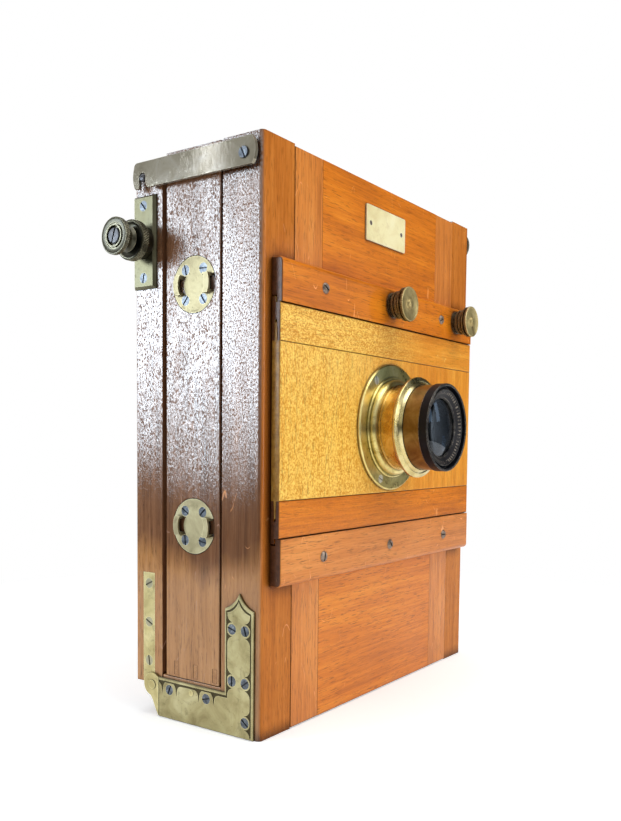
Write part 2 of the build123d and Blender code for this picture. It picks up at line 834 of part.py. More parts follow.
def rising_panel_cleat():
    """Left cleat of the rising panel, with the tongue that runs in the stile."""
    bottom, top = panel_z_range()
    inner_x = panel_edge_x - panel_cleat_width
    cleat = block(-panel_edge_x, -inner_x, panel_front_y, panel_back_y, bottom, top)
    tongue_y = panel_front_y + (panel_thickness - panel_tongue_thickness) / 2
    tongue_x = stile_inner_x + panel_tongue_depth - wood_clearance
    tongue = block(-tongue_x, -panel_edge_x, tongue_y, tongue_y + panel_tongue_thickness, bottom, top)
    return cleat + tongue


def cleat_with_holes():
    """Left cleat with the pilot holes of the batten screws that reach it."""
    return drilled(rising_panel_cleat(), batten_screw_places(), FRONT, batten_screw)


def right_cleat_with_holes():
    """Right cleat with its pilot holes and the hole for the rise clamp's stud."""
    cleat = mirrored(rising_panel_cleat()) - rise_clamp_bore()
    return drilled(cleat, batten_screw_places(), FRONT, batten_screw)


def batten_profile_block(bottom, height, rounded_z):
    """A batten before its rebate: one long front edge and both ends are rounded."""
    end_x = side_x - batten_inset
    batten = block(-end_x, end_x, batten_front_y, panel_front_y, bottom, bottom + height)
    long_edge = [
        edge for edge in batten.edges().filter_by(Axis.X)
        if abs(edge.center().Y - batten_front_y) < 0.01 and abs(edge.center().Z - rounded_z) < 0.01
    ]
    batten = fillet(long_edge, batten_edge_round)
    end_edges = [
        edge for edge in batten.edges().filter_by(Axis.Z) if abs(edge.center().Y - batten_front_y) < 0.01
    ]
    return fillet(end_edges, 0.8)


def upper_batten():
    """Upper batten: it holds the lens board's top lip, and the two clamp knobs pass through it."""
    bottom = upper_batten_bottom
    batten = batten_profile_block(bottom, upper_batten_height, bottom + upper_batten_height)
    rebate = block(
        -side_x, side_x, panel_front_y - batten_rebate_depth, panel_front_y + 1,
        bottom - 1, bottom + batten_rebate_height,
    )
    batten = batten - rebate - shift_clamp_bore() - rise_clamp_bore() - rise_nut()
    return drilled(batten, batten_screw_places(), FRONT, batten_screw)


def lower_batten():
    """Lower batten, with the rebate for the lens board's bottom lip."""
    top = lower_batten_bottom + lower_batten_height
    batten = batten_profile_block(lower_batten_bottom, lower_batten_height, lower_batten_bottom)
    rebate = block(
        -side_x, side_x, panel_front_y - batten_rebate_depth, panel_front_y + 1,
        top - batten_rebate_height, top + 1,
    )
    return drilled(batten - rebate, batten_screw_places(), FRONT, batten_screw)


def shift_clamp_bore():
    """Hole for the shift clamp's stud, through the batten and the panel."""
    start = (shift_clamp_x, panel_back_y + 1, clamp_height)
    return rod(start, FRONT, clamp_stud_radius + shaft_clearance, 40)


def rise_clamp_bore():
    """Hole for the rise clamp's stud, through the batten and the right cleat."""
    start = (rise_clamp_x, panel_back_y + 1, clamp_height)
    return rod(start, FRONT, clamp_stud_radius + shaft_clearance, 40)


def shift_nut_plate():
    """Brass nut plate in the panel's back: the shift clamp draws the batten onto the lip."""
    return block(
        shift_clamp_x - 9, shift_clamp_x + 9, panel_back_y - 1.6, panel_back_y,
        clamp_height - 6, clamp_height + 6,
    )


def rise_nut():
    """Round brass nut in the batten: the rise clamp's stud bears on the stile's rear leg."""
    return rod((rise_clamp_x, panel_front_y, clamp_height), FRONT, 4.5, 2.4)


def name_plate():
    """Bare brass name plate with cut corners."""
    plate = block(
        -name_plate_width / 2, name_plate_width / 2, panel_front_y - name_plate_thickness, panel_front_y,
        name_plate_z - name_plate_height / 2, name_plate_z + name_plate_height / 2,
    )
    plate = fillet(plate.edges().filter_by(Axis.Y), 0.8)
    return drilled(plate, name_plate_screw_places(), FRONT, small_screw)


def clamp_knob(x):
    """Turned clamp knob: ribbed stem, grooved and knurled cap, and a stud through the panel."""
    stem = clamp_stem_radius
    cap = clamp_cap_radius
    end = clamp_length - 0.8
    points = [
        (0, 0), (stem - 0.5, 0), (stem - 0.5, 1.2), (stem - 1.3, 1.5), (stem - 1.3, 1.9),
        (stem, 2.2), (stem, 3.2), (stem - 0.5, 3.5), (stem, 3.8), (stem, 5.0),
        (stem - 0.9, 5.4), (cap - 0.6, 5.8), (cap - 0.3, 6.2), (cap - 0.3, 7.0),
        (cap - 1.3, 7.3), (cap - 1.3, 7.8), (cap, 8.1), (cap, end - 0.2), (cap - 0.3, end),
        (cap - 0.9, end), (cap - 1.4, end - 0.3), (2.6, end - 0.1), (2.3, end + 0.5),
        (1.6, clamp_length), (0, clamp_length),
    ]
    foot_y = batten_front_y - clamp_foot_gap
    body = turned_front(points, x, clamp_height, foot_y)
    return body + rod((x, panel_back_y, clamp_height), FRONT, clamp_stud_radius, panel_back_y - foot_y)


# ---- Lens board and lens ------------------------------------------------------------

def board_section(z0, z1, lip_z0, lip_z1):
    """Length of lens board: a rear layer with the lip, and the front layer."""
    end_x = side_x - board_inset
    lip_front_y = board_back_y - board_lip_thickness
    rear = block(-end_x, end_x, lip_front_y, board_back_y, lip_z0, lip_z1)
    front = block(-end_x, end_x, board_front_y, lip_front_y, z0, z1)
    return rear + front


def board_joint_z():
    """Heights of the joints between the lens board's panel and its two cleats."""
    return board_bottom_z + board_cleat_height, board_top_z - board_cleat_height


def board_tongues(extra):
    """Tongues of the panel in the cleats. The grooves are longer than the tongues by extra."""
    low, high = board_joint_z()
    end_x = side_x - board_inset
    y = (board_front_y + board_back_y) / 2
    half = board_tongue_thickness / 2
    length = board_tongue_length + extra
    top = block(-end_x, end_x, y - half, y + half, high, high + length)
    bottom = block(-end_x, end_x, y - half, y + half, low - length, low)
    return [top, bottom]


def lens_board_panel():
    """Middle of the lens board, with the hole that the lens passes through."""
    low, high = board_joint_z()
    panel = board_section(low, high, low, high)
    for tongue in board_tongues(0):
        panel = panel + tongue
    hole = rod((0, board_back_y + 1, lens_height), FRONT, tube_radius + 1.5, 20)
    return drilled(panel - hole, flange_screw_places(), FRONT, flange_screw)


def lens_board_cleats():
    """Top and bottom cleats of the lens board, with the lips that run in the battens."""
    low, high = board_joint_z()
    grooves = board_tongues(1.2)
    top = board_section(high, board_top_z, high, board_top_z + board_lip_height) - grooves[0]
    bottom = board_section(board_bottom_z, low, board_bottom_z - board_lip_height, low) - grooves[1]
    return top, bottom


def lens_place(points):
    """Turned lens piece. Points are (radius, distance in front of the lens board)."""
    return turned_front(points, 0, lens_height, board_front_y)


collar_end = flange_thickness + flange_collar_length
boss_end = collar_end + flange_boss_length
neck_end = boss_end + neck_length
iris_end = neck_end + iris_ring_thickness + iris_step_length + 2 * shaft_clearance
barrel_end = iris_end + front_barrel_length
hood_end = barrel_end + hood_length
board_thickness = board_lip_thickness + board_front_thickness


def lens_flange():
    """Brass flange screwed to the board, with the round-shouldered boss that the lens screws into."""
    bore = tube_radius + 1.3 + shaft_clearance
    shoulder = flange_boss_length - 0.8
    depth = flange_boss_radius - neck_radius
    angles = [math.radians(15 * step) for step in range(7)]
    rounding = [
        (neck_radius + depth * math.cos(a), collar_end + 0.8 + shoulder * math.sin(a)) for a in angles
    ]
    flange = lens_place([
        (bore, 0), (flange_radius, 0), (flange_radius, flange_thickness - 0.5),
        (flange_radius - 0.7, flange_thickness), (flange_collar_radius, flange_thickness),
        (flange_collar_radius, collar_end - 0.3), (flange_collar_radius - 0.4, collar_end),
        (flange_boss_radius, collar_end), *rounding, (bore, boss_end),
    ])
    return drilled(flange, flange_screw_places(), FRONT, flange_screw)


def lens_barrel():
    """Main tube: it screws into the flange, and the iris ring turns on its front part."""
    thread = tube_radius + 1.3
    return lens_place([
        (tube_bore_radius, -board_thickness), (thread, -board_thickness), (thread, boss_end),
        (neck_radius, boss_end), (neck_radius, boss_end + 1.0), (neck_radius - 0.4, boss_end + 1.3),
        (neck_radius - 0.4, neck_end - 1.0), (neck_radius, neck_end - 0.7), (neck_radius, neck_end),
        (tube_radius, neck_end), (tube_radius, barrel_end), (tube_bore_radius, barrel_end),
    ])


def iris_ring():
    """Ring that sets the iris: a rim, then a broad cone that runs down to the sleeve."""
    start = neck_end + shaft_clearance
    step = start + iris_ring_thickness
    end = step + iris_step_length
    bore = tube_radius + shaft_clearance
    rim = iris_ring_radius
    foot = front_barrel_radius + 0.3
    return lens_place([
        (bore, start), (rim - 0.3, start), (rim, start + 0.3), (rim, step - 0.2), (rim - 0.2, step),
        (iris_step_radius + 0.3, step + 0.9), (iris_step_radius, step + 0.7),
        (iris_step_radius - 0.3, step + 0.9), (foot + 0.4, end - 0.5), (foot, end), (bore, end),
    ])


def front_barrel():
    """Lacquered sleeve in front of the iris ring."""
    bore = tube_radius + shaft_clearance
    radius = front_barrel_radius
    return lens_place([
        (bore, iris_end), (radius - 0.3, iris_end), (radius, iris_end + 0.3), (radius, barrel_end),
        (bore, barrel_end),
    ])


def lens_hood():
    """Black hood that carries the front glass and shades it."""
    seat = front_glass_radius + glass_seat_clearance
    glass_back = hood_end - front_glass_recess - front_glass_edge
    inner = hood_radius - hood_wall
    return lens_place([
        (seat - 1.5, barrel_end - 4.0), (tube_bore_radius - 0.1, barrel_end - 4.0),
        (tube_bore_radius - 0.1, barrel_end), (hood_radius, barrel_end), (hood_radius, hood_end - 0.4),
        (hood_radius - 0.4, hood_end), (inner + 0.3, hood_end), (inner, hood_end - 0.3),
        (inner, hood_end - 3.6), (seat, hood_end - 3.6), (seat, glass_back), (seat - 1.5, glass_back),
    ])


def retaining_ring():
    """Bare conical ring that holds the front glass in the hood."""
    outer = hood_radius - hood_wall - 1.7
    seat_y = hood_end - 3.6
    return lens_place([
        (front_glass_radius - 0.5, seat_y - 0.75), (front_glass_radius + 0.05, seat_y - 0.75),
        (front_glass_radius + 0.05, seat_y), (outer, seat_y), (outer, seat_y + 2.2),
        (outer - 0.4, seat_y + 2.4), (front_glass_radius - 0.5, seat_y - 0.3),
    ])


def lens_glass(radius, edge, bulge, rim_distance, facing):
    """Plano-convex glass. Its rim lies at rim_distance from the board, its dome towards facing."""
    rim = -rim_distance
    flat = rim - facing * edge
    dome_radius = (radius ** 2 + bulge ** 2) / (2 * bulge)
    half_way_rise = bulge - dome_radius + math.sqrt(dome_radius ** 2 - radius ** 2 / 4)
    face = make_face([
        Line((0, flat), (radius, flat)),
        Line((radius, flat), (radius, rim)),
        ThreePointArc((radius, rim), (radius / 2, rim + facing * half_way_rise), (0, rim + facing * bulge)),
        Line((0, rim + facing * bulge), (0, flat)),
    ])
    return Pos(0, board_front_y, lens_height) * revolve(face, Axis.Y)


def front_glass():
    """Front element, seated in the hood."""
    rim_distance = hood_end - front_glass_recess
    return lens_glass(front_glass_radius, front_glass_edge, front_glass_bulge, rim_distance, -1)


def rear_cell():
    """Brass cell of the rear element, screwed into the barrel, its rim spun over the glass."""
    outer = rear_cell_radius()
    back = -(board_thickness + rear_cell_length)
    seat = rear_glass_radius + glass_seat_clearance
    lip = seat - 0.7
    shelf = seat - 1.5
    shelf_back = back + rear_rim_depth + rear_glass_edge
    inside = -board_thickness + 3.2
    return lens_place([
        (shelf, inside), (outer, inside), (outer, back + 0.4), (outer - 0.4, back), (lip, back),
        (lip, back + 1.3), (seat, back + 1.3), (seat, shelf_back), (shelf, shelf_back),
    ])


def rear_glass():
    """Rear element."""
    back = -(board_thickness + rear_cell_length)
    return lens_glass(rear_glass_radius, rear_glass_edge, rear_glass_bulge, back + rear_rim_depth, 1)


def iris_blades():
    """Leaves of the iris, each on its own level, half closed."""
    leaf_radius = tube_bore_radius - 0.3
    trim = Pos(iris_leaf_trim + leaf_radius / 2, 0) * Rectangle(leaf_radius, 3 * leaf_radius)
    blades = []
    for index in range(iris_blade_count):
        angle = 360 * index / iris_blade_count
        offset = iris_leaf_cut_radius - iris_opening_radius
        leaf = Circle(leaf_radius) - Pos(offset, 0) * Circle(iris_leaf_cut_radius) - trim
        distance = neck_end + 0.2 * index
        plane = Plane(origin=(0, board_front_y - distance, lens_height), x_dir=RIGHT, z_dir=FRONT)
        blades.append(plane * (Rot(0, 0, angle) * extrude(leaf, iris_blade_thickness)))
    return blades


# ---- Latch straps -------------------------------------------------------------------

def latch_pivot_place():
    """Centre of the left latch's pivot on the side of the body."""
    return (-side_x, front_y + latch_pivot_depth, latch_pivot_z)


def latch_pivot_hole():
    """Pilot hole of the left latch's pivot screw."""
    return rod(latch_pivot_place(), RIGHT, 1.5, 10)


def latch_strap():
    """Left latch strap: round in front, with an open keyhole slot at the rear."""
    pivot = front_y + latch_pivot_depth
    front = pivot - latch_front_reach
    rear = pivot + latch_rear_reach
    middle = latch_pivot_z + 0.8
    low = middle - latch_height / 2
    high = middle + latch_height / 2
    pin_y = front_y + latch_pin_depth
    body = make_face([
        ThreePointArc((front + 1.9, low), (front, middle), (front + 1.9, high)),
        Line((front + 1.9, high), (rear - 2.2, high)),
        ThreePointArc((rear - 2.2, high), (rear - 0.8, high - 0.7), (rear - 0.2, high - 2.2)),
        ThreePointArc((rear - 0.2, high - 2.2), (rear + 0.5, middle), (rear - 0.8, low)),
        Line((rear - 0.8, low), (front + 1.9, low)),
    ])
    half = latch_slot_width / 2
    slot = Pos(pin_y, latch_pin_z + 0.2) * Circle(half)
    throat = Pos(pin_y, latch_pin_z - 6) * Rectangle(latch_slot_width, 12.4)
    flare = pin_y - half - 1.8
    lead_in = outline((pin_y, low - 1), (flare, low - 1), (pin_y - half, low + 2.2), (pin_y, low + 2.2))
    pivot_hole = Pos(pivot, latch_pivot_z) * Circle(1.5 + shaft_clearance)
    x = -side_x - latch_standoff - shaft_clearance
    return side_sheet(body - slot - throat - lead_in - pivot_hole, x, x - latch_thickness)


def latch_pivot_parts():
    """Left latch's stand-off washer and its pivot screw."""
    x, y, z = latch_pivot_place()
    washer = rod((x, y, z), LEFT, 4.6, latch_standoff) - rod((x + 1, y, z), LEFT, 1.5, 10)
    outer = -side_x - latch_standoff - latch_thickness - 2 * shaft_clearance
    shank = rod((-side_x + 10, y, z), LEFT, 1.5, -side_x + 10 - outer)
    head = rod((outer, y, z), LEFT, 2.45, 0.8)
    slot = Pos(outer - 0.8, y, z) * Rot(-25, 0, 0) * Box(0.9, 0.75, 6)
    return [washer, shank + head - slot]


def latch_pin():
    """Left latch pin, screwed into the tailboard."""
    pin_y = front_y + latch_pin_depth
    end_x = -side_x - latch_standoff - latch_thickness
    shank = rod((-side_x + 8, pin_y, latch_pin_z), LEFT, latch_pin_radius, -side_x + 8 - end_x)
    head = turned_left(
        [(0, 0), (1.85, 0), (1.85, 0.4), (1.3, 0.9), (0, 1.1)], pin_y, latch_pin_z, end_x + 0.4
    )
    return shank + head


# ---- Tailboard ----------------------------------------------------------------------

def tail_rail():
    """Left rail of the tailboard: a ledge and a groove carry the sliding bed frame."""
    rail = block(-side_x, -tail_rail_inner_x, tail_inner_y, tail_outer_y, tail_bottom, tail_top)
    bed_space = block(
        -runner_outer_x - wood_clearance, 0, tail_inner_y - 1, slider_back_y + wood_clearance,
        tail_bottom - 1, tail_top + 1,
    )
    tongue_y = tail_inner_y + slider_thickness / 2
    half = slider_tongue_thickness / 2 + wood_clearance
    groove = block(
        -runner_outer_x - slider_tongue_depth - 2 * wood_clearance, 0, tongue_y - half, tongue_y + half,
        tail_bottom - 1, tail_top + 1,
    )
    panel_rebate = tail_panel_block(0.0)
    shaft_hole = rod((-side_x - 1, knob_y, knob_height), RIGHT, shaft_radius + shaft_clearance, 60)
    pin_y = front_y + latch_pin_depth
    pin_hole = rod((-side_x - 1, pin_y, latch_pin_z), RIGHT, latch_pin_radius, 9)
    rail = rail - bed_space - groove - panel_rebate - shaft_hole - pin_hole
    outer_edges = [
        edge for edge in rail.edges().filter_by(Axis.Z)
        if abs(edge.center().X + side_x) < 0.01 and abs(edge.center().Y - tail_outer_y) < 0.01
    ]
    rail = fillet(outer_edges, 0.8)
    rail = rail - hinge_strip_body() - focus_plate_pilot()
    return drilled(rail, strip_screw_places(), LEFT, fitting_screw)


def focus_plate_pilot():
    """Pilot holes of the left focus plate's screws."""
    places = focus_plate_screw_places()
    return pilot_hole(places[0], LEFT, fitting_screw) + pilot_hole(places[1], LEFT, fitting_screw)


def tail_panel_block(gap):
    """Thin board on the tailboard's outer face, let into the rails by half their width."""
    reach = side_x - tail_rail_width / 2 - gap
    return block(
        -reach, reach, tail_panel_front_y, tail_outer_y, tail_bottom + gap, tail_top - gap
    )


def tail_cross_rails():
    """Two cross rails between the tailboard's side rails."""
    y0 = slider_back_y + wood_clearance
    low = block(
        -tail_rail_inner_x, tail_rail_inner_x, y0, tail_panel_front_y,
        tail_bottom, tail_bottom + tail_bottom_rail_height,
    )
    high = block(
        -tail_rail_inner_x, tail_rail_inner_x, y0, tail_panel_front_y,
        tail_top - tail_top_rail_height, tail_top,
    )
    return low, high


def hinge_strip_body():
    """Left hinge strip without its holes: let in flush, with an eye round the hinge pin."""
    start = pivot_y - 0.6
    strip = Pos(start + strip_width / 2, (pivot_z + 0.4 + strip_top) / 2)
    strip = strip * Rectangle(strip_width, strip_top - pivot_z - 0.4)
    eye = Pos(pivot_y, pivot_z) * Circle(2.6)
    return side_sheet(strip + eye, -side_x, -side_x + strip_thickness)


def hinge_strip():
    """Left hinge strip of the tailboard."""
    pin_hole = rod(
        (-side_x - 1, pivot_y, pivot_z), RIGHT, hinge_pin_radius + shaft_clearance, strip_thickness + 2
    )
    return drilled(hinge_strip_body() - pin_hole, strip_screw_places(), LEFT, fitting_screw)


def focus_plate():
    """Left focus plate: bevelled brass with the shaft's bearing boss."""
    outline_face = Pos(knob_y, focus_plate_z) * Rectangle(focus_plate_width, focus_plate_length)
    plate = side_sheet(outline_face, -side_x, -side_x - focus_plate_thickness)
    outer = plate.faces().sort_by(Axis.X)[0]
    plate = chamfer(outer.edges(), focus_plate_bevel, focus_plate_bevel * 0.8)
    boss = rod((-side_x - focus_plate_thickness, knob_y, knob_height), LEFT, 4.6, 2.4)
    bearing = rod((-side_x + 1, knob_y, knob_height), LEFT, shaft_radius + shaft_clearance, 20)
    return drilled(plate + boss - bearing, focus_plate_screw_places(), LEFT, fitting_screw)


# ---- Sliding bed frame, racks, pinion and knobs --------------------------------------

def slider_z_range():
    """Bottom and top of the sliding bed frame at rest."""
    return tail_bottom + slider_end_gap, tail_top - slider_end_gap


def slider_runner():
    """Left runner of the bed frame, with its guiding tongue and the groove for its rack."""
    bottom, top = slider_z_range()
    runner = block(-runner_outer_x, -runner_inner_x, tail_inner_y, slider_back_y, bottom, top)
    tongue_y = tail_inner_y + slider_thickness / 2
    half = slider_tongue_thickness / 2
    tongue = block(
        -runner_outer_x - slider_tongue_depth, -runner_outer_x, tongue_y - half, tongue_y + half, bottom, top
    )
    return runner + tongue - rack_space()


def slider_bars():
    """Two cross bars of the bed frame."""
    bottom, top = slider_z_range()
    low = block(
        -runner_inner_x, runner_inner_x, tail_inner_y, slider_back_y, bottom, bottom + slider_bar_height
    )
    high = block(
        -runner_inner_x, runner_inner_x, tail_inner_y, slider_back_y, top - slider_bar_height, top
    )
    return low, high


def rack_z_range():
    """Bottom and top of the racks at rest."""
    return knob_height - slider_travel - rack_end, knob_height + rack_end


def rack_space():
    """Groove in the left runner that the rack lies in."""
    bottom, top = rack_z_range()
    depth_y = rack_pitch_y + tooth_module - rack_depth
    return block(-rack_x, -rack_x + rack_width, depth_y, slider_back_y + 1, bottom, top)


def rack():
    """Left brass rack, its teeth towards the pinion."""
    bottom, top = rack_z_range()
    pitch = math.pi * tooth_module
    root_y = rack_pitch_y - 1.25 * tooth_module
    tip_y = rack_pitch_y + tooth_module
    back_y = tip_y - rack_depth
    flank = math.tan(math.radians(20))
    root_half = 0.21 * pitch + (rack_pitch_y - root_y) * flank
    tip_half = 0.21 * pitch - (tip_y - rack_pitch_y) * flank
    points = [(back_y, bottom), (root_y, bottom)]
    first = math.ceil((bottom - knob_height) / pitch + 0.5)
    last = math.floor((top - knob_height) / pitch - 0.5)
    for index in range(first, last + 1):
        z = knob_height + pitch * index
        points += [(root_y, z - root_half), (tip_y, z - tip_half)]
        points += [(tip_y, z + tip_half), (root_y, z + root_half)]
    points += [(root_y, top), (back_y, top)]
    return side_sheet(outline(*points), -rack_x, -rack_x + rack_width)


def pinion_section():
    """Toothed section of the pinion, in (y, z): a tooth space faces the rack's middle tooth."""
    tooth_angle = 2 * math.pi / pinion_teeth
    root = pinion_pitch_radius - 1.2 * tooth_module
    tip = pinion_pitch_radius + 0.85 * tooth_module
    widths = ((root, 0.30), (pinion_pitch_radius, 0.21), (tip, 0.085))
    points = []
    for index in range(pinion_teeth):
        middle = math.pi + tooth_angle * (index + 0.5)
        rising = [(radius, middle - share * tooth_angle) for radius, share in widths]
        falling = [(radius, middle + share * tooth_angle) for radius, share in reversed(widths)]
        points += [(radius * math.cos(a), radius * math.sin(a)) for radius, a in rising + falling]
    return Pos(knob_y, knob_height) * outline(*points)


def pinion_shaft():
    """Steel shaft across the tailboard, with a pinion cut at each rack."""
    left_end = -side_x - lock_reach - 4.0
    right_end = side_x + focus_plate_thickness + 2.4
    shaft = rod((left_end, knob_y, knob_height), RIGHT, shaft_radius, right_end - left_end)
    margin = (rack_width - pinion_width) / 2
    left_pinion = side_sheet(pinion_section(), -rack_x + margin, -rack_x + margin + pinion_width)
    return shaft + left_pinion + mirrored(left_pinion)


def lock_ring():
    """Knurled ring that locks the focusing shaft, dished on its face."""
    hub_start = side_x + focus_plate_thickness + 0.1
    disc_start = lock_reach - lock_disc_length
    start = hub_start - side_x
    bore = 4.6 + shaft_clearance
    front_bore = shaft_radius + 0.4
    radius = lock_radius
    return turned_left(
        [
            (bore, start), (lock_hub_radius, start), (lock_hub_radius, disc_start - 1.0),
            (radius - 0.4, disc_start - 0.4), (radius, disc_start), (radius, lock_reach - 0.3),
            (radius - 0.3, lock_reach), (radius - 1.0, lock_reach), (radius - 1.8, lock_reach - 0.8),
            (front_bore, lock_reach - 1.2), (front_bore, start + 2.6), (bore, start + 2.6),
        ],
        knob_y, knob_height, -side_x,
    )


def focus_knob():
    """Focusing knob on the shaft's end: coved neck, knurled disc and a slotted screw."""
    start = lock_reach + 0.3
    disc = knob_reach - knob_disc_length
    radius = knob_radius
    knob = turned_left(
        [
            (shaft_radius, start), (5.6, start), (6.0, start + 0.8), (5.2, start + 2.2),
            (5.0, start + 4.0), (5.8, disc - 1.2), (radius - 0.5, disc - 0.3), (radius, disc),
            (radius, knob_reach - 0.3), (radius - 0.3, knob_reach), (5.8, knob_reach),
            (5.6, knob_reach - 0.5), (5.3, knob_reach - 0.5), (5.1, knob_reach + 0.3),
            (4.5, knob_reach + 0.3), (4.3, knob_reach - 1.2), (0, knob_reach - 1.2),
            (0, lock_reach + 4.0), (shaft_radius, lock_reach + 4.0),
        ],
        knob_y, knob_height, -side_x,
    )
    return knob


def focus_knob_screw():
    """Steel screw in the focusing knob's face."""
    top = -side_x - knob_reach + 0.2
    head = rod((top + 1.0, knob_y, knob_height), LEFT, 3.7, 1.0)
    slot = Pos(top, knob_y, knob_height) * Rot(70, 0, 0) * Box(1.0, 0.9, 9)
    return head - slot


# ---- Write every sub-part -----------------------------------------------------------

def write_front_frame():
    stile = front_stile()
    save("front_stile_left", stile)
    save("front_stile_right", mirrored(stile))
    save("front_top_rail", front_rail(body_height - front_rail_top_height, body_height - wood_clearance))
    save("front_bottom_rail", front_rail(0, front_rail_bottom_height))
    save("base_board", base_board())
    save("tripod_bush", tripod_bush())


def write_fittings():
    bracket = corner_bracket()
    save("corner_bracket_left", bracket)
    save("corner_bracket_right", mirrored(bracket))
    ear_parts = [hinge_ear(), ear_rivet()]
    save("hinge_ears", *ear_parts, *[mirrored(part) for part in ear_parts])
    save("hinge_pins", hinge_pin(), mirrored(hinge_pin()))
    side_screws = screws(bracket_screw_places(), LEFT, fitting_screw)
    right_places = [(-x, y, z) for x, y, z in bracket_screw_places()]
    other_screws = screws(right_places, RIGHT, fitting_screw, right_bracket_slot_turn)
    handle_screws = screws(handle_screw_places(handle_upper_z), LEFT, fitting_screw, upper_handle_slot_turn)
    handle_screws += screws(handle_screw_places(handle_lower_z), LEFT, fitting_screw, lower_handle_slot_turn)
    bush_screws = screws(bush_screw_places(), DOWN, fitting_screw)
    save("body_screws", *side_screws, *other_screws, *handle_screws, *bush_screws)
    latch_parts = latch_pivot_parts()
    save("latch_pivots", *latch_parts, *[mirrored(part) for part in latch_parts])


def write_standard():
    save("standard_left", standard_side_with_plates())
    save("standard_right", mirrored(standard_side()))
    save("standard_top", standard_top())
    save("standard_bottom", standard_bottom())
    save("handle_plate_upper", handle_plate(handle_upper_z))
    save("handle_plate_lower", handle_plate(handle_lower_z))
    save("bellows", bellows())
    save("bellows_frame", *inner_frame())
    save("focusing_screen_frame", *screen_frame())
    save("focusing_screen_glass", screen_glass())
    save("focusing_screen_clips", *screen_clips())


def write_rising_front():
    save("rising_panel", rising_panel())
    save("rising_panel_cleats", cleat_with_holes(), right_cleat_with_holes())
    save("upper_batten", upper_batten())
    save("lower_batten", lower_batten())
    save("name_plate", name_plate())
    batten_screw_row = screws(batten_screw_places(), FRONT, batten_screw, batten_slot_turn, domed=True)
    save("rising_front_screws", *batten_screw_row, *screws(name_plate_screw_places(), FRONT, small_screw))
    save("clamp_nuts", shift_nut_plate() - shift_clamp_bore(), rise_nut() - rise_clamp_bore())
    save("shift_clamp_knob", clamp_knob(shift_clamp_x))
    save("rise_clamp_knob", clamp_knob(rise_clamp_x))


def write_lens():
    save("lens_board_panel", lens_board_panel())
    save("lens_board_cleats", *lens_board_cleats())
    save("lens_flange", lens_flange())
    save("lens_flange_screws", *screws(flange_screw_places(), FRONT, flange_screw, flange_slot_turn))
    save("lens_barrel", lens_barrel())
    save("front_barrel", front_barrel())
    save("lens_hood", lens_hood())
    save("retaining_ring", retaining_ring())
    save("front_glass", front_glass())
    save("rear_cell", rear_cell())
    save("rear_glass", rear_glass())
    save("iris_blades", *iris_blades())
    save("iris_ring", iris_ring())


def write_latches():
    strap = latch_strap()
    save("latch_strap_left", strap)
    save("latch_strap_right", mirrored(strap))
    save("latch_pins", latch_pin(), mirrored(latch_pin()))


def write_tailboard():
    rail = tail_rail()
    save("tailboard_rail_left", rail)
    save("tailboard_rail_right", mirrored(rail))
    save("tailboard_cross_rails", *tail_cross_rails())
    save("tailboard_panel", tail_panel_block(wood_clearance))
    save("hinge_strips", hinge_strip(), mirrored(hinge_strip()))
    save("focus_plates", focus_plate(), mirrored(focus_plate()))
    places = strip_screw_places() + focus_plate_screw_places()
    left = screws(places, LEFT, fitting_screw, 10)
    right = screws([(-x, y, z) for x, y, z in places], RIGHT, fitting_screw, 45)
    save("tailboard_screws", *left, *right)


def write_focusing():
    save("bed_slider", slider_runner(), mirrored(slider_runner()), *slider_bars())
    save("bed_racks", rack(), mirrored(rack()))
    save("pinion_shaft", pinion_shaft())
    save("focus_knob", focus_knob(), focus_knob_screw())
    save("lock_ring", lock_ring())


os.makedirs("parts", exist_ok=True)
write_front_frame()
write_fittings()
write_standard()
write_rising_front()
write_lens()
write_latches()
write_tailboard()
write_focusing()
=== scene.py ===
import json
import math

import bmesh
import bpy
from mathutils import Matrix, Vector


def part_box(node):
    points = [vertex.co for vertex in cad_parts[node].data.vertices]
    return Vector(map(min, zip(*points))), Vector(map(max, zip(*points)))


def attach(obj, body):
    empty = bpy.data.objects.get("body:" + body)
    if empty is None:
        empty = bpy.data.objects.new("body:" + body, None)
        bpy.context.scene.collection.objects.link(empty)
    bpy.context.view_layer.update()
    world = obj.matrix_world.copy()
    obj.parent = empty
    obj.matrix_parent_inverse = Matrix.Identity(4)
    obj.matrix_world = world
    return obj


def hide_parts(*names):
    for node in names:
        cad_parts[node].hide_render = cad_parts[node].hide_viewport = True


# Looks of a folding wooden view camera, stored shut. Metres, in the CAD frame:
# +Z up, the lens looks along -Y, the focusing knob is on the -X side.

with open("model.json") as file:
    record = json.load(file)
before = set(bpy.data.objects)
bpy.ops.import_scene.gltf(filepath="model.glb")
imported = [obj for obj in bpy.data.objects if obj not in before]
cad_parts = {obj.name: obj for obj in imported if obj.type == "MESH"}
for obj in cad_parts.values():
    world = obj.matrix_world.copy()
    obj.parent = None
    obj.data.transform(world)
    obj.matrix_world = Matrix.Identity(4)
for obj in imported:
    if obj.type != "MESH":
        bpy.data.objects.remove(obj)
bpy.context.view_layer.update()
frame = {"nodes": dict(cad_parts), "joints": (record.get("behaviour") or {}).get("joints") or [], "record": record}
NODES = frame["nodes"]
BODY_OF = {n: b for b, ns in frame["record"]["behaviour"]["bodies"].items() for n in ns}
SLOT_OF = {p["node"]: p["material_slot"] for p in frame["record"]["subparts"]}
JOINTS = {j["name"]: j for j in frame["joints"]}
MM = 0.001

# Axes read from the record's joints
LENS_AXIS = Vector(JOINTS["iris_turn"]["pos_m"])
KNOB_AXIS = Vector(JOINTS["focus_turn"]["pos_m"])

# Distance of the body's side from the middle, in mm
SIDE = -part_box("standard_left")[0].x / MM


# ---- Small node-tree language ---------------------------------------------------------

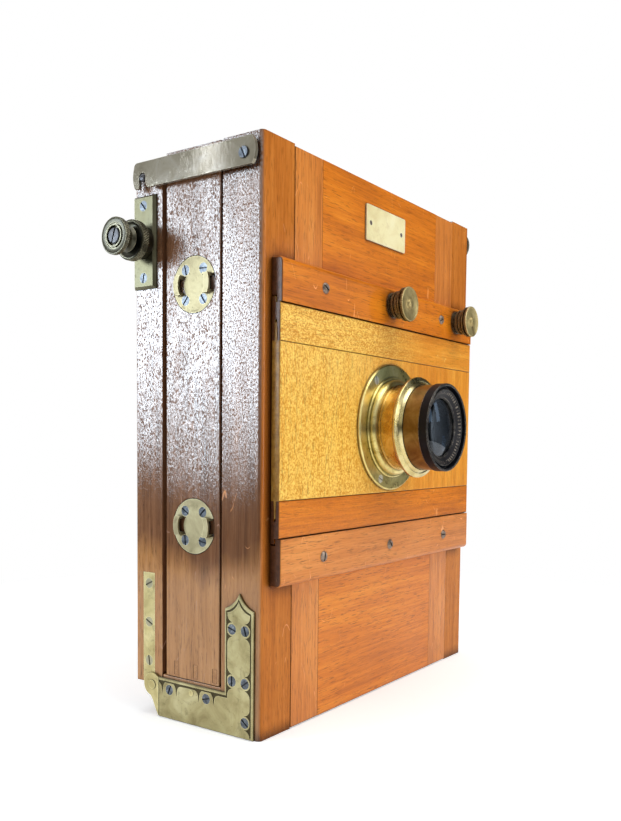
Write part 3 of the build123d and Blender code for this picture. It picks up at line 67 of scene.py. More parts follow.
class Tree:
    """A node tree, with short calls for the nodes that materials and the world use."""

    def __init__(self, tree):
        self.tree = tree

    def node(self, kind, **inputs):
        """New node. Inputs are sockets to link or values to set; names use _ for spaces."""
        node = self.tree.nodes.new(kind)
        for key, value in inputs.items():
            self.put(node.inputs[key.replace("_", " ")], value)
        return node

    def put(self, socket, value):
        if isinstance(value, bpy.types.NodeSocket):
            self.tree.links.new(value, socket)
        else:
            socket.default_value = value

    def step(self, value, low, high, to_low=0.0, to_high=1.0, smooth=False):
        """Value mapped from low..high to to_low..to_high, clamped."""
        node = self.node("ShaderNodeMapRange", Value=value)
        if smooth:
            node.interpolation_type = "SMOOTHSTEP"
        for index, number in enumerate((low, high, to_low, to_high), start=1):
            node.inputs[index].default_value = number
        return node.outputs["Result"]

    def calculate(self, node, kind, a, b):
        """Value of a math node for an operation on a and b."""
        node.operation = kind
        self.put(node.inputs[0], a)
        self.put(node.inputs[1], b)
        return node.outputs["Value"]

    def math(self, kind, a, b=0.0):
        return self.calculate(self.tree.nodes.new("ShaderNodeMath"), kind, a, b)

    def measure(self, kind, a, b=(0.0, 0.0, 0.0)):
        """Length, distance or dot product of vectors."""
        return self.calculate(self.tree.nodes.new("ShaderNodeVectorMath"), kind, a, b)

    def rays(self):
        """1 for rays from the camera, straight or through glass; and 1 for mirror rays."""
        path = self.tree.nodes.new("ShaderNodeLightPath").outputs
        seen = self.math("MAXIMUM", path["Is Camera Ray"], path["Is Transmission Ray"])
        return seen, path["Is Glossy Ray"]


class Shader(Tree):
    """One material and its nodes."""

    def __init__(self, name):
        self.material = bpy.data.materials.new(name)
        self.material.use_nodes = True
        super().__init__(self.material.node_tree)
        self.bsdf = self.tree.nodes["Principled BSDF"]

    def set(self, **inputs):
        """Set or link inputs of the Principled shader."""
        for key, value in inputs.items():
            self.put(self.bsdf.inputs[key.replace("_", " ")], value)

    def coords(self, scale=(1, 1, 1), move=(0, 0, 0), turn=(0, 0, 0)):
        """Object coordinates, moved, turned and stretched."""
        place = self.node("ShaderNodeTexCoord").outputs["Object"]
        mapping = self.node("ShaderNodeMapping", Vector=place, Location=move, Rotation=turn, Scale=scale)
        return mapping.outputs["Vector"]

    def noise(self, vector, scale, detail=4.0, rough=0.55, twist=0.0):
        return self.node("ShaderNodeTexNoise", Vector=vector, Scale=scale, Detail=detail,
                         Roughness=rough, Distortion=twist).outputs["Fac"]

    def cells(self, vector, scale, feature="F1"):
        node = self.node("ShaderNodeTexVoronoi", Vector=vector, Scale=scale)
        node.feature = feature
        return node.outputs["Distance"]

    def axis(self, name):
        """Object coordinate along one axis."""
        return self.node("ShaderNodeSeparateXYZ", Vector=self.coords()).outputs[name]

    def mix(self, factor, a, b):
        """Colour a, or b where the factor is 1."""
        node = self.tree.nodes.new("ShaderNodeMix")
        node.data_type = "RGBA"
        self.put(node.inputs[0], factor)
        self.put(node.inputs[6], a)
        self.put(node.inputs[7], b)
        return node.outputs[2]

    def tint(self, colour, mask, amount, other):
        """Colour turned by some amount towards another where the mask is set."""
        return self.mix(self.math("MULTIPLY", mask, amount), colour, other)

    def ramp(self, factor, *stops):
        """Colour ramp of (position, colour) stops."""
        node = self.node("ShaderNodeValToRGB", Fac=factor)
        elements = node.color_ramp.elements
        while len(elements) < len(stops):
            elements.new(0.5)
        for element, (place, colour) in zip(elements, stops):
            element.position = place
            element.color = rgba(colour)
        return node.outputs["Color"]

    def specks(self, vector, scale, inner, outer, patches, low, high, detail=3.0):
        """Small round spots that lie together in cloudy patches."""
        spots = self.step(self.cells(vector, scale), inner, outer, 1.0, 0.0)
        return self.math("MULTIPLY", spots, self.step(self.noise(vector, patches, detail), low, high))

    def bump(self, height, strength, distance, normal=None):
        node = self.node("ShaderNodeBump", Height=height, Strength=strength, Distance=distance)
        if normal is not None:
            self.put(node.inputs["Normal"], normal)
        return node.outputs["Normal"]

    def about_lens(self):
        """Place across, behind and above the lens axis, and distance from it."""
        centred = self.coords(move=tuple(-LENS_AXIS))
        split = self.node("ShaderNodeSeparateXYZ", Vector=centred)
        across, back, up = (split.outputs[name] for name in "XYZ")
        squares = self.math("ADD", self.math("MULTIPLY", across, across), self.math("MULTIPLY", up, up))
        return across, back, up, self.math("SQRT", squares)

    def facing(self, axis):
        """Component of the face's own normal along an axis of the object."""
        geometry = self.tree.nodes.new("ShaderNodeNewGeometry")
        turn = self.tree.nodes.new("ShaderNodeVectorTransform")
        turn.vector_type = "NORMAL"
        turn.convert_from = "WORLD"
        turn.convert_to = "OBJECT"
        self.put(turn.inputs[0], geometry.outputs["True Normal"])
        return self.node("ShaderNodeSeparateXYZ", Vector=turn.outputs[0]).outputs[axis]

    def hollows(self, distance, low=0.45, high=0.95):
        """1 in hollows and inner corners, 0 in the open."""
        shade = self.tree.nodes.new("ShaderNodeAmbientOcclusion")
        shade.samples = 6
        shade.inputs["Distance"].default_value = distance
        return self.step(shade.outputs["AO"], low, high, 1.0, 0.0)

    def edges(self, radius, low=0.02, high=0.25):
        """1 near sharp edges, 0 on flat faces."""
        bevel = self.tree.nodes.new("ShaderNodeBevel")
        bevel.samples = 4
        bevel.inputs["Radius"].default_value = radius
        plain = self.tree.nodes.new("ShaderNodeNewGeometry")
        alike = self.measure("DOT_PRODUCT", bevel.outputs["Normal"], plain.outputs["Normal"])
        return self.step(self.math("SUBTRACT", 1.0, alike), low, high)

    def light(self, strength, colour=(1.0, 1.0, 1.0, 1.0)):
        return self.node("ShaderNodeEmission", Color=colour, Strength=strength).outputs[0]

    def choose(self, factor, a, b):
        """Shader a, or b where the factor is 1."""
        node = self.tree.nodes.new("ShaderNodeMixShader")
        for socket, value in zip(node.inputs, (factor, a, b)):
            self.put(socket, value)
        return node.outputs[0]


def rgba(colour, times=1.0, plus=0.0):
    """Opaque colour, made lighter or darker. No channel goes past 1."""
    return (*[min(1.0, times * v + plus) for v in colour[:3]], 1.0)


# ---- Wood -----------------------------------------------------------------------------

# scale of the textures; the grain runs along the axis with the small one
GRAIN = {
    "X": (0.035, 1.0, 1.0),
    "Z": (1.0, 1.0, 0.035),
}
# dark, middle and light tone of each kind of wood
SIDE_BROWN = ((0.300, 0.130, 0.038), (0.420, 0.192, 0.064), (0.500, 0.250, 0.096))
SIDE_DARK = ((0.105, 0.045, 0.021), (0.185, 0.081, 0.036), (0.275, 0.126, 0.060))
FRONT_WARM = ((0.360, 0.105, 0.014), (0.600, 0.195, 0.030), (0.760, 0.300, 0.060))
FRONT_RED = ((0.380, 0.090, 0.003), (0.640, 0.178, 0.006), (0.800, 0.280, 0.018))
GOLDEN = ((0.620, 0.240, 0.015), (0.810, 0.430, 0.055), (0.930, 0.640, 0.140))
STILE_RED = ((0.290, 0.080, 0.010), (0.470, 0.145, 0.020), (0.620, 0.225, 0.040))
# ORANGE: the darker tones of the lens board's painted shading towards +X
ORANGE = ((0.560, 0.165, 0.008), (0.740, 0.270, 0.020), (0.870, 0.400, 0.050))
INSIDE = ((0.160, 0.060, 0.022), (0.260, 0.110, 0.042), (0.360, 0.165, 0.070))
END_GRAIN = (0.085, 0.032, 0.014)
GOLDEN_END = (0.330, 0.170, 0.030)
PLAIN_IOR = 1.5
CRAZED_IOR = 2.6
# heights at which the sides turn from brown to dark, and from rubbed to thick varnish
DARK_FROM, DARK_FULL = 0.070, 0.084
VARNISH_FROM, VARNISH_FULL = 0.090, 0.126
RAGGED = 0.012
# places along X between which a board's painted shading comes in: its warm tones towards +X are darker, as on a
# side that gets less light
SHADING_FROM, SHADING_FULL = -0.015, 0.060
SHADING_MOST = 0.95


class Board(Shader):
    """Node tree of one wooden board, with the figure that runs along its grain."""

    def __init__(self, name, tones, grain, seed):
        super().__init__(name)
        self.dark, _, self.light = tones
        self.stretch = GRAIN[grain]
        self.place = (0.11 * seed, 0.07 * seed, 0.05 * seed)
        self.plain = self.coords(move=self.place)
        self.drift = self.noise(self.along(0.35), 28.0, 3.0, 0.5, 0.4)
        streak = self.noise(self.along(0.0), 190.0, 6.0, 0.62, 0.25)
        fine = self.noise(self.along(0.0), 900.0, 3.0, 0.7)
        tone = self.math("ADD", self.math("MULTIPLY", self.drift, 0.32), self.math("MULTIPLY", streak, 0.36))
        self.tone = self.math("ADD", tone, self.math("MULTIPLY", fine, 0.32))

    def along(self, least):
        """Coordinates stretched along the grain, where no axis is scaled by less than least."""
        return self.coords(tuple(least + (1.0 - least) * v for v in self.stretch), self.place)

    def toned(self, tones, spread=0.12):
        """Dark, middle and light tones laid over the figure."""
        return self.ramp(self.tone, *zip((0.50 - spread, 0.50, 0.50 + spread), tones))

    def shading_towards_right(self):
        """Painted shading: 0 at the left to nearly 1 at the right, with a ragged border."""
        place = self.math("ADD", self.axis("X"), self.math("MULTIPLY", self.drift, 0.06))
        return self.step(place, SHADING_FROM, SHADING_FULL, 0.0, SHADING_MOST)

    def ragged_height(self):
        patch = self.noise(self.coords((1.0, 1.0, 0.45), self.place), 22.0, 4.0, 0.6)
        return self.math("ADD", self.axis("Z"), self.step(patch, 0.3, 0.7, -RAGGED, RAGGED))

    def crazed_coat(self, zone):
        """Weight of a varnish that has flaked into small upright islands, and is thin outside the zone."""
        flakes = self.step(self.noise(self.along(0.62), 1450.0, 2.0, 0.6), 0.42, 0.50, 0.10, 1.0)
        worn = self.step(self.noise(self.along(0.25), 34.0, 5.0, 0.65, 0.5), 0.36, 0.58, 0.5, 1.0)
        thick = self.math("MULTIPLY", zone, self.math("MULTIPLY", flakes, worn))
        return self.math("ADD", thick, self.step(zone, 0.0, 1.0, 0.22, 0.0))

    def flecked(self, colour, amount):
        """Ray fleck: short bright and dark dashes."""
        dashes = self.noise(self.along(0.7), 1400.0, 3.0, 0.85)
        colour = self.tint(colour, self.step(dashes, 0.51, 0.56), amount, rgba(self.light, 1.1))
        return self.tint(colour, self.step(dashes, 0.48, 0.41), amount, rgba(self.dark))

    def end_grained(self, colour, tone):
        """Rings of the end grain on the faces across X."""
        across = self.step(self.math("ABSOLUTE", self.facing("X")), 0.55, 0.90)
        rings = self.step(self.noise(self.plain, 420.0, 5.0, 0.7), 0.3, 0.7)
        return self.mix(across, colour, self.mix(rings, rgba(tone, 0.55), rgba(tone, 1.35)))

    def scratched(self, colour, amount):
        """Hairline scratches: broken stretches of curved lines, pale where the varnish is torn."""
        line = self.noise(self.coords((1.0, 1.0, 0.30), self.place, (0.9, 0.5, 0.5)), 60.0, 1.5, 0.5, 0.15)
        line = self.step(self.math("ABSOLUTE", self.math("SUBTRACT", line, 0.5)), 0.0, 0.0036, 1.0, 0.0)
        torn = self.noise(self.coords((1.0, 1.0, 1.0), self.place, (0.1, 0.7, 0.3)), 110.0, 2.0)
        hairs = self.math("MULTIPLY", line, self.step(torn, 0.55, 0.60))
        return self.tint(colour, hairs, amount, rgba(self.light, 1.2, 0.10))


def wood(name, tones, grain, seed, fleck=0.0, wear=0.5, side=False, whole=False, ends=None,
         shade=0.0016, warm=None):
    """Varnished mahogany: streaked grain, open pores, knocks and rubbed edges.

    side: the faces across X are dark, with the thick crackled varnish of the camera's sides.
    whole: every face is like that. ends: colour of the end grain across X.
    shade: how far painted shade reaches out of corners. warm: darker tones of the half towards +X, a painted
    shading.
    """
    s = Board(name, tones, grain, seed)
    colour = s.toned(tones, 0.16)
    if warm:
        # painted shading: the half towards +X turns to the darker warm tones, as if less lit
        right = s.shading_towards_right()
        colour = s.mix(right, colour, s.toned(warm))
    coat, coat_rough, coat_ior = 0.35, 0.16, PLAIN_IOR
    old = side or whole
    if old:
        # varnish is thick and hazy above, and rubbed off towards the foot
        height = s.ragged_height()
        aged = s.mix(s.step(height, DARK_FROM, DARK_FULL), s.toned(SIDE_BROWN), s.toned(SIDE_DARK))
        zone = s.step(height, VARNISH_FROM, VARNISH_FULL)
        if side:
            facing = s.step(s.math("ABSOLUTE", s.facing("X")), 0.45, 0.85)
            zone = s.math("MULTIPLY", zone, facing)
            coat_ior = s.step(facing, 0.0, 1.0, PLAIN_IOR, CRAZED_IOR)
            colour = s.mix(facing, colour, aged)
        else:
            coat_ior = CRAZED_IOR
            colour = aged
        coat = s.crazed_coat(zone)
        coat_rough = s.step(zone, 0.0, 1.0, 0.10, 0.20)
    if fleck:
        # the ray fleck fades out under the painted shading towards +X
        if warm:
            fleck = s.step(right, 0.0, SHADING_MOST, fleck, 0.1 * fleck)
        colour = s.flecked(colour, fleck)
    if ends:
        colour = s.end_grained(colour, ends)
    pores = s.step(s.noise(s.along(0.04), 2000.0, 2.0, 0.6), 0.56, 0.68)
    pores = s.math("MULTIPLY", pores, s.step(s.drift, 0.35, 0.65, 0.45, 1.0))
    colour = s.tint(colour, pores, 0.7, rgba(s.dark, 0.45))
    scuffs = s.noise(s.coords(move=s.place, turn=(0.4, 0.8, 0.3)), 60.0, 8.0, 0.7, 1.5)
    scuffs = s.step(scuffs, 0.60, 0.78)
    colour = s.tint(colour, scuffs, 0.4 * wear, rgba(s.dark, 0.40))
    spots = s.specks(s.plain, 95.0, 0.035, 0.075, 18.0, 0.52, 0.62, 2.0)
    colour = s.tint(colour, spots, 0.7 * wear, rgba(s.dark, 0.3))
    colour = s.scratched(colour, wear)
    ragged = s.math("MULTIPLY", s.edges(0.0011), s.step(s.noise(s.plain, 140.0, 5.0, 0.7), 0.38, 0.62))
    colour = s.tint(colour, ragged, 0.75 * wear, rgba(s.dark, 0.35))
    # painted shade: corners and hollows darkened towards the board's darkest tone, out to the distance shade
    colour = s.tint(colour, s.hollows(shade, 0.55, 0.95), 0.88, rgba(s.dark, 0.12))
    rough = s.step(s.noise(s.plain, 45.0, 6.0, 0.7, 0.8), 0.3, 0.75, 0.3, 0.5)
    ripple = s.noise(s.along(0.4), 950.0, 4.0, 0.65)
    normal = s.bump(ripple, 0.25, 0.00020)
    normal = s.bump(s.math("ADD", pores, s.math("MULTIPLY", scuffs, 0.5)), 0.5, -0.00006, normal)
    cuts = s.cells(s.coords((1.0, 1.0, 0.08), s.place, (0.5, 0.35, 0.2)), 240.0, "DISTANCE_TO_EDGE")
    cuts = s.math("MULTIPLY", s.step(cuts, 0.0, 0.02, 1.0, 0.0), s.step(s.drift, 0.5, 0.62))
    normal = s.bump(cuts, 0.35, -0.00003, normal)
    if old:
        ripple = s.math("MULTIPLY", ripple, s.step(zone, 0.0, 1.0, 0.12, 1.0))
    s.set(Base_Color=colour, Roughness=rough, Normal=normal)
    s.set(Specular_IOR_Level=0.03 if old else 0.15)
    s.set(Coat_Normal=s.bump(ripple, 1.0, 0.00022 if old else 0.00008))
    s.set(Coat_Weight=coat, Coat_Roughness=coat_rough, Coat_IOR=coat_ior)
    return s.material


# ---- Metals ---------------------------------------------------------------------------

def brass(name, tones, rough, patina=0.5, tarnish=(0.10, 0.085, 0.045), seed=0.0, scratches=0.6,
          engraved=0.0, metallic=1.0, spread=0.28):
    """Brass sheet: cloudy tone, dark patina in spots and hollows, edges rubbed bright with a painted highlight on
    them, fine scratches.

    engraved: distance from the camera's middle below which a side plate is blackened.
    """
    s = Shader(name)
    move = (0.13 * seed, 0.05 * seed, 0.09 * seed)
    plain = s.coords(move=move)
    cloud = s.noise(plain, 75.0, 6.0, 0.62, 0.6)
    colour = s.ramp(cloud, (0.32, tones[0]), (0.52, tones[1]), (0.72, tones[2]))
    stain = s.step(s.noise(plain, 160.0, 7.0, 0.72, 1.2), 0.54, 0.70)
    specks = s.specks(plain, 420.0, 0.05, 0.13, 70.0, 0.50, 0.60)
    grime = s.math("MAXIMUM", s.math("MULTIPLY", stain, 0.6), s.math("MULTIPLY", specks, 0.9))
    colour = s.tint(colour, grime, patina, rgba(tarnish))
    # edges: rubbed bright, and tinted past the lightest tone as a painted highlight
    colour = s.tint(colour, s.edges(0.0005, 0.03, 0.35), 0.7, rgba(tones[2], 1.7))
    dirt = s.hollows(0.0009)
    if engraved:
        out = s.math("ABSOLUTE", s.axis("X"))
        sunk = s.step(out, engraved - 0.02 * MM, engraved + 0.02 * MM, 1.0, 0.0)
        flat = s.step(s.math("ABSOLUTE", s.facing("X")), 0.85, 0.95)
        dirt = s.math("MAXIMUM", dirt, s.math("MULTIPLY", sunk, flat))
    colour = s.tint(colour, dirt, 0.88, (0.035, 0.026, 0.014, 1.0))
    grime = s.math("MAXIMUM", grime, dirt)
    line = s.noise(s.coords((1.0, 1.0, 0.03), move, (0.6, 0.2, 0.1)), 1500.0, 4.0, 0.7)
    cross = s.noise(s.coords((1.0, 0.03, 1.0), move, (0.3, 0.2, 0.9)), 1300.0, 4.0, 0.7)
    roughness = s.step(s.math("ADD", cloud, s.math("MULTIPLY", grime, 0.6)), 0.3, 1.0, rough, rough + spread)
    normal = s.bump(s.math("ADD", line, cross), 0.12 * scratches, 0.00010)
    normal = s.bump(s.noise(plain, 240.0, 4.0, 0.6), 0.10, 0.00025, normal)
    normal = s.bump(grime, 0.18, -0.00005, normal)
    s.set(Base_Color=colour, Metallic=metallic, Roughness=roughness, Normal=normal)
    return s.material


def turned_brass(name, tones, rough, blacken=0.0, coat=0.0, foot=0.0):
    """Lathe-turned brass round the lens axis: fine rings, stains, and a blackened bore.

    The turning marks scatter light across them. blacken: radius inside which the metal is black.
    foot: place along Y behind which the brass is stained purple brown.
    """
    s = Shader(name)
    plain = s.coords()
    across, back, up, radius = s.about_lens()
    rings = s.node("ShaderNodeCombineXYZ", X=radius, Y=back)
    turning = s.noise(rings.outputs["Vector"], 5200.0, 3.0, 0.7)
    cloud = s.noise(plain, 90.0, 6.0, 0.65, 0.8)
    colour = s.ramp(cloud, (0.30, tones[0]), (0.50, tones[1]), (0.74, tones[2]))
    stain = s.step(s.noise(plain, 190.0, 8.0, 0.75, 1.4), 0.58, 0.68)
    specks = s.specks(plain, 520.0, 0.06, 0.16, 90.0, 0.52, 0.60)
    grime = s.math("MAXIMUM", s.math("MULTIPLY", stain, 0.55), specks)
    colour = s.tint(colour, grime, 0.7, (0.075, 0.035, 0.012, 1.0))
    # edges: rubbed bright, and tinted past the lightest tone as a painted highlight
    colour = s.tint(colour, s.edges(0.0005, 0.03, 0.35), 0.6, rgba(tones[2], 1.3))
    colour = s.tint(colour, s.hollows(0.0009), 0.8, (0.050, 0.024, 0.008, 1.0))
    if foot:
        behind = s.step(s.axis("Y"), foot, foot + 0.2 * MM)
        colour = s.tint(colour, behind, 0.85, (0.22, 0.10, 0.085, 1.0))
    metal = 1.0
    if blacken:
        inner = s.step(radius, blacken - 0.1 * MM, blacken, 1.0, 0.0)
        colour = s.mix(inner, colour, (0.012, 0.012, 0.013, 1.0))
        metal = s.step(inner, 0.0, 1.0, 1.0, 0.0)
    roughness = s.step(s.math("ADD", cloud, s.math("MULTIPLY", grime, 0.5)), 0.3, 1.1, rough, rough + 0.22)
    normal = s.bump(turning, 0.12, 0.00006)
    normal = s.bump(grime, 0.2, -0.00004, normal)
    s.set(Base_Color=colour, Metallic=metal, Roughness=roughness, Normal=normal)
    round_axis = s.node("ShaderNodeCombineXYZ", X=s.math("MULTIPLY", up, -1.0), Z=across)
    s.set(Anisotropic=0.75, Anisotropic_Rotation=0.25, Tangent=round_axis.outputs["Vector"])
    s.set(Coat_Weight=coat, Coat_Roughness=0.10, Coat_Tint=(1.0, 0.86, 0.62, 1.0))
    return s.material


def worn_dark(name, base, bare, rough, metallic, edge_size, coat=0.3, shine=0.5):
    """Dark finish, enamel or bronzing, rubbed through to bare metal along its edges."""
    s = Shader(name)
    plain = s.coords()
    cloud = s.noise(plain, 160.0, 6.0, 0.7, 0.6)
    colour = s.ramp(cloud, (0.30, rgba(base, 0.55)), (0.55, base), (0.80, rgba(base, 1.9)))
    edge = s.edges(edge_size, 0.03, 0.30)
    ragged = s.step(s.noise(plain, 700.0, 5.0, 0.7), 0.30, 0.56)
    rubbed = s.math("MULTIPLY", edge, ragged)
    chips = s.specks(plain, 900.0, 0.06, 0.14, 130.0, 0.56, 0.64)
    rubbed = s.math("MAXIMUM", rubbed, s.math("MULTIPLY", chips, 0.6))
    colour = s.mix(rubbed, colour, rgba(bare))
    metal = s.step(rubbed, 0.0, 1.0, metallic, 1.0)
    roughness = s.step(cloud, 0.3, 0.8, rough, rough + 0.2)
    normal = s.bump(s.noise(plain, 900.0, 4.0, 0.6), 0.12, 0.00008)
    normal = s.bump(rubbed, 0.2, -0.00004, normal)
    s.set(Base_Color=colour, Metallic=metal, Roughness=roughness, Normal=normal)
    s.set(Coat_Weight=coat, Coat_Roughness=0.12, Specular_IOR_Level=shine)
    return s.material


def scale_ring(name):
    """Black ring whose white-filled marks, plain ticks, have mostly worn away."""
    s = Shader(name)
    across, _, up, radius = s.about_lens()
    inner, outer, soft = 17.1 * MM, 18.5 * MM, 0.1 * MM
    within = s.step(radius, outer - soft, outer, 1.0, 0.0)
    band = s.math("MULTIPLY", s.step(radius, inner, inner + soft), within)
    angle = s.math("ARCTAN2", up, across)
    tick = s.step(s.math("SINE", s.math("MULTIPLY", angle, 60.0)), -0.1, 0.3)
    kept = s.step(s.noise(s.coords(), 800.0, 3.0, 0.7), 0.44, 0.54)
    marks = s.math("MULTIPLY", s.math("MULTIPLY", band, tick), kept)
    cloud = s.noise(s.coords(), 260.0, 5.0, 0.7)
    colour = s.ramp(cloud, (0.3, (0.004, 0.004, 0.006)), (0.8, (0.014, 0.014, 0.018)))
    colour = s.tint(colour, marks, 0.9, (0.24, 0.205, 0.16, 1.0))
    rubbed = s.math("MULTIPLY", s.edges(0.0004, 0.03, 0.3), s.step(cloud, 0.42, 0.6))
    colour = s.mix(rubbed, colour, (0.42, 0.38, 0.30, 1.0))
    s.set(Base_Color=colour, Roughness=s.step(cloud, 0.3, 0.8, 0.34, 0.52))
    s.set(Normal=s.bump(marks, 0.4, -0.00008), Specular_IOR_Level=0.2)
    return s.material


def steel(name, tones, rough, rust=0.35, pale_below=0.0):
    """Old screw steel: blued or bare, with brown spots.

    pale_below: height under which the heads are of yellow metal.
    """
    s = Shader(name)
    plain = s.coords()
    cloud = s.noise(plain, 380.0, 6.0, 0.7, 0.8)
    colour = s.ramp(cloud, (0.30, tones[0]), (0.52, tones[1]), (0.75, tones[2]))
    spot = s.step(s.noise(plain, 620.0, 6.0, 0.75, 1.0), 0.56, 0.68)
    colour = s.tint(colour, spot, rust, (0.10, 0.050, 0.025, 1.0))
    if pale_below:
        low = s.step(s.axis("Z"), pale_below, pale_below + 10 * MM, 0.85, 0.0)
        colour = s.mix(low, colour, (0.40, 0.37, 0.24, 1.0))
    colour = s.tint(colour, s.hollows(0.0007, 0.55, 0.97), 0.9, (0.010, 0.010, 0.012, 1.0))
    roughness = s.step(s.math("ADD", cloud, s.math("MULTIPLY", spot, 0.5)), 0.3, 1.1, rough, rough + 0.3)
    brushed = s.noise(s.coords((1.0, 1.0, 0.04), turn=(0.7, 0.0, 0.0)), 2600.0, 3.0, 0.7)
    normal = s.bump(brushed, 0.15, 0.00008)
    s.set(Base_Color=colour, Metallic=0.9, Roughness=roughness, Normal=normal)
    return s.material


# ---- Glass and leather ----------------------------------------------------------------

def lens_glass(name):
    """Uncoated optical glass with a few dust specks."""
    s = Shader(name)
    dust = s.specks(s.coords(), 420.0, 0.02, 0.06, 150.0, 0.62, 0.70)
    s.set(Base_Color=(0.26, 0.31, 0.37, 1.0), Roughness=s.step(dust, 0.0, 1.0, 0.015, 0.20))
    s.set(Transmission_Weight=1.0, IOR=1.40, Specular_Tint=(0.75, 0.86, 1.0, 1.0))
    return s.material


def ground_glass(name):
    """Finely ground pane: cloudy white, hardly see-through."""
    s = Shader(name)
    plain = s.coords()
    frost = s.noise(plain, 2600.0, 3.0, 0.7)
    haze = s.noise(plain, 22.0, 5.0, 0.6, 0.6)
    colour = s.ramp(haze, (0.35, (0.62, 0.66, 0.65)), (0.65, (0.80, 0.83, 0.81)))
    s.set(Base_Color=colour, Roughness=s.step(haze, 0.3, 0.7, 0.42, 0.58))
    s.set(Transmission_Weight=0.55, IOR=1.5, Normal=s.bump(frost, 0.35, 0.00006))
    return s.material


def leather(name):
    """Thin dark red leather, rubbed along the folds."""
    s = Shader(name)
    plain = s.coords()
    pebble = s.cells(plain, 1500.0)
    cloud = s.noise(plain, 60.0, 6.0, 0.65, 0.5)
    colour = s.ramp(cloud, (0.3, (0.030, 0.010, 0.008)), (0.6, (0.065, 0.020, 0.015)),
                    (0.85, (0.11, 0.040, 0.026)))
    rubbed = s.math("MULTIPLY", s.edges(0.0008, 0.05, 0.5), s.step(s.noise(plain, 220.0, 5.0), 0.4, 0.62))
    colour = s.tint(colour, rubbed, 0.7, (0.19, 0.090, 0.055, 1.0))
    normal = s.bump(pebble, 0.5, -0.00012)
    normal = s.bump(s.noise(plain, 400.0, 4.0, 0.6), 0.3, 0.00015, normal)
    s.set(Base_Color=colour, Roughness=s.step(cloud, 0.3, 0.8, 0.45, 0.65), Normal=normal)
    s.set(Sheen_Weight=0.08)
    return s.material


# ---- Mesh helpers ---------------------------------------------------------------------

def link(name, mesh, body, slot, *replaced, materials=()):
    """New object that rides on a body and may replace CAD nodes."""
    piece = bpy.data.objects.new(name, mesh)
    bpy.context.scene.collection.objects.link(piece)
    for material in materials:
        mesh.materials.append(material)
    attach(piece, body)
    if replaced:
        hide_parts(*replaced)
    return piece


def smooth_with_creases(mesh, degrees=32.0):
    """Smooth shading with hard edges where two faces meet at more than the angle."""
    bm = bmesh.new()
    bm.from_mesh(mesh)
    limit = math.radians(degrees)
    for face in bm.faces:
        face.smooth = True
    for edge in bm.edges:
        edge.smooth = len(edge.link_faces) == 2 and edge.calc_face_angle(0.0) < limit
    bm.to_mesh(mesh)
    bm.free()


def softened(node, width):
    """Copy of a CAD node whose long sharp edges are rounded; the copy replaces the node."""
    shortest = 6 * MM
    mesh = NODES[node].data.copy()
    mesh.materials.clear()
    bm = bmesh.new()
    bm.from_mesh(mesh)
    bmesh.ops.remove_doubles(bm, verts=bm.verts, dist=1e-6)
    bmesh.ops.dissolve_limit(bm, angle_limit=math.radians(0.6), verts=bm.verts, edges=bm.edges)
    sharp = [
        e for e in bm.edges
        if len(e.link_faces) == 2 and e.calc_length() > shortest
        and e.calc_face_angle(0.0) > math.radians(40.0) and e.is_convex
    ]
    bmesh.ops.bevel(bm, geom=sharp, offset=width, segments=3, profile=0.5, affect="EDGES",
                    clamp_overlap=True)
    bmesh.ops.triangulate(bm, faces=[f for f in bm.faces if len(f.verts) > 4])
    bm.to_mesh(mesh)
    bm.free()
    smooth_with_creases(mesh, 38.0)
    piece = link(node + "_eased", mesh, BODY_OF[node], SLOT_OF[node], node)
    weighted = piece.modifiers.new("even_normals", "WEIGHTED_NORMAL")
    weighted.keep_sharp = True
    return piece


def paint(piece, *materials):
    """Give a piece its materials, the first on every face."""
    piece.data.materials.clear()
    for material in materials:
        piece.data.materials.append(material)
    for face in piece.data.polygons:
        face.material_index = 0


def paint_where(piece, index, test):
    """Use material index on the faces whose centre passes the test."""
    for face in piece.data.polygons:
        if test(face.center):
            face.material_index = index


def revolved(rows, origin, direction, segments):
    """Mesh turned about an axis. A row is (radius, distance, ripple depth, ripples, phase)."""
    axis = Vector(direction).normalized()
    first = axis.orthogonal().normalized()
    second = axis.cross(first)
    bm = bmesh.new()
    loops = []
    for radius, distance, depth, ripples, phase in rows:
        centre = Vector(origin) + axis * distance
        if radius < 1e-7:
            loops.append([bm.verts.new(centre)])
            continue
        loop = []
        for index in range(segments):
            angle = 2.0 * math.pi * index / segments
            wave = 0.5 + 0.5 * math.cos(ripples * angle + phase)
            reach = radius - depth * wave
            loop.append(bm.verts.new(centre + reach * (math.cos(angle) * first + math.sin(angle) * second)))
        loops.append(loop)
    for near, far in zip(loops, loops[1:]):
        for index in range(segments):
            after = (index + 1) % segments
            if len(near) == 1:
                corners = (near[0], far[after], far[index])
            elif len(far) == 1:
                corners = (near[index], near[after], far[0])
            else:
                corners = (near[index], near[after], far[after], far[index])
            bm.faces.new(corners)
    bmesh.ops.recalc_face_normals(bm, faces=bm.faces)
    return bm


def finish_mesh(bm, name, degrees=32.0):
    mesh = bpy.data.meshes.new(name)
    bm.to_mesh(mesh)
    bm.free()
    smooth_with_creases(mesh, degrees)
    return mesh


# ---- Materials in use -----------------------------------------------------------------

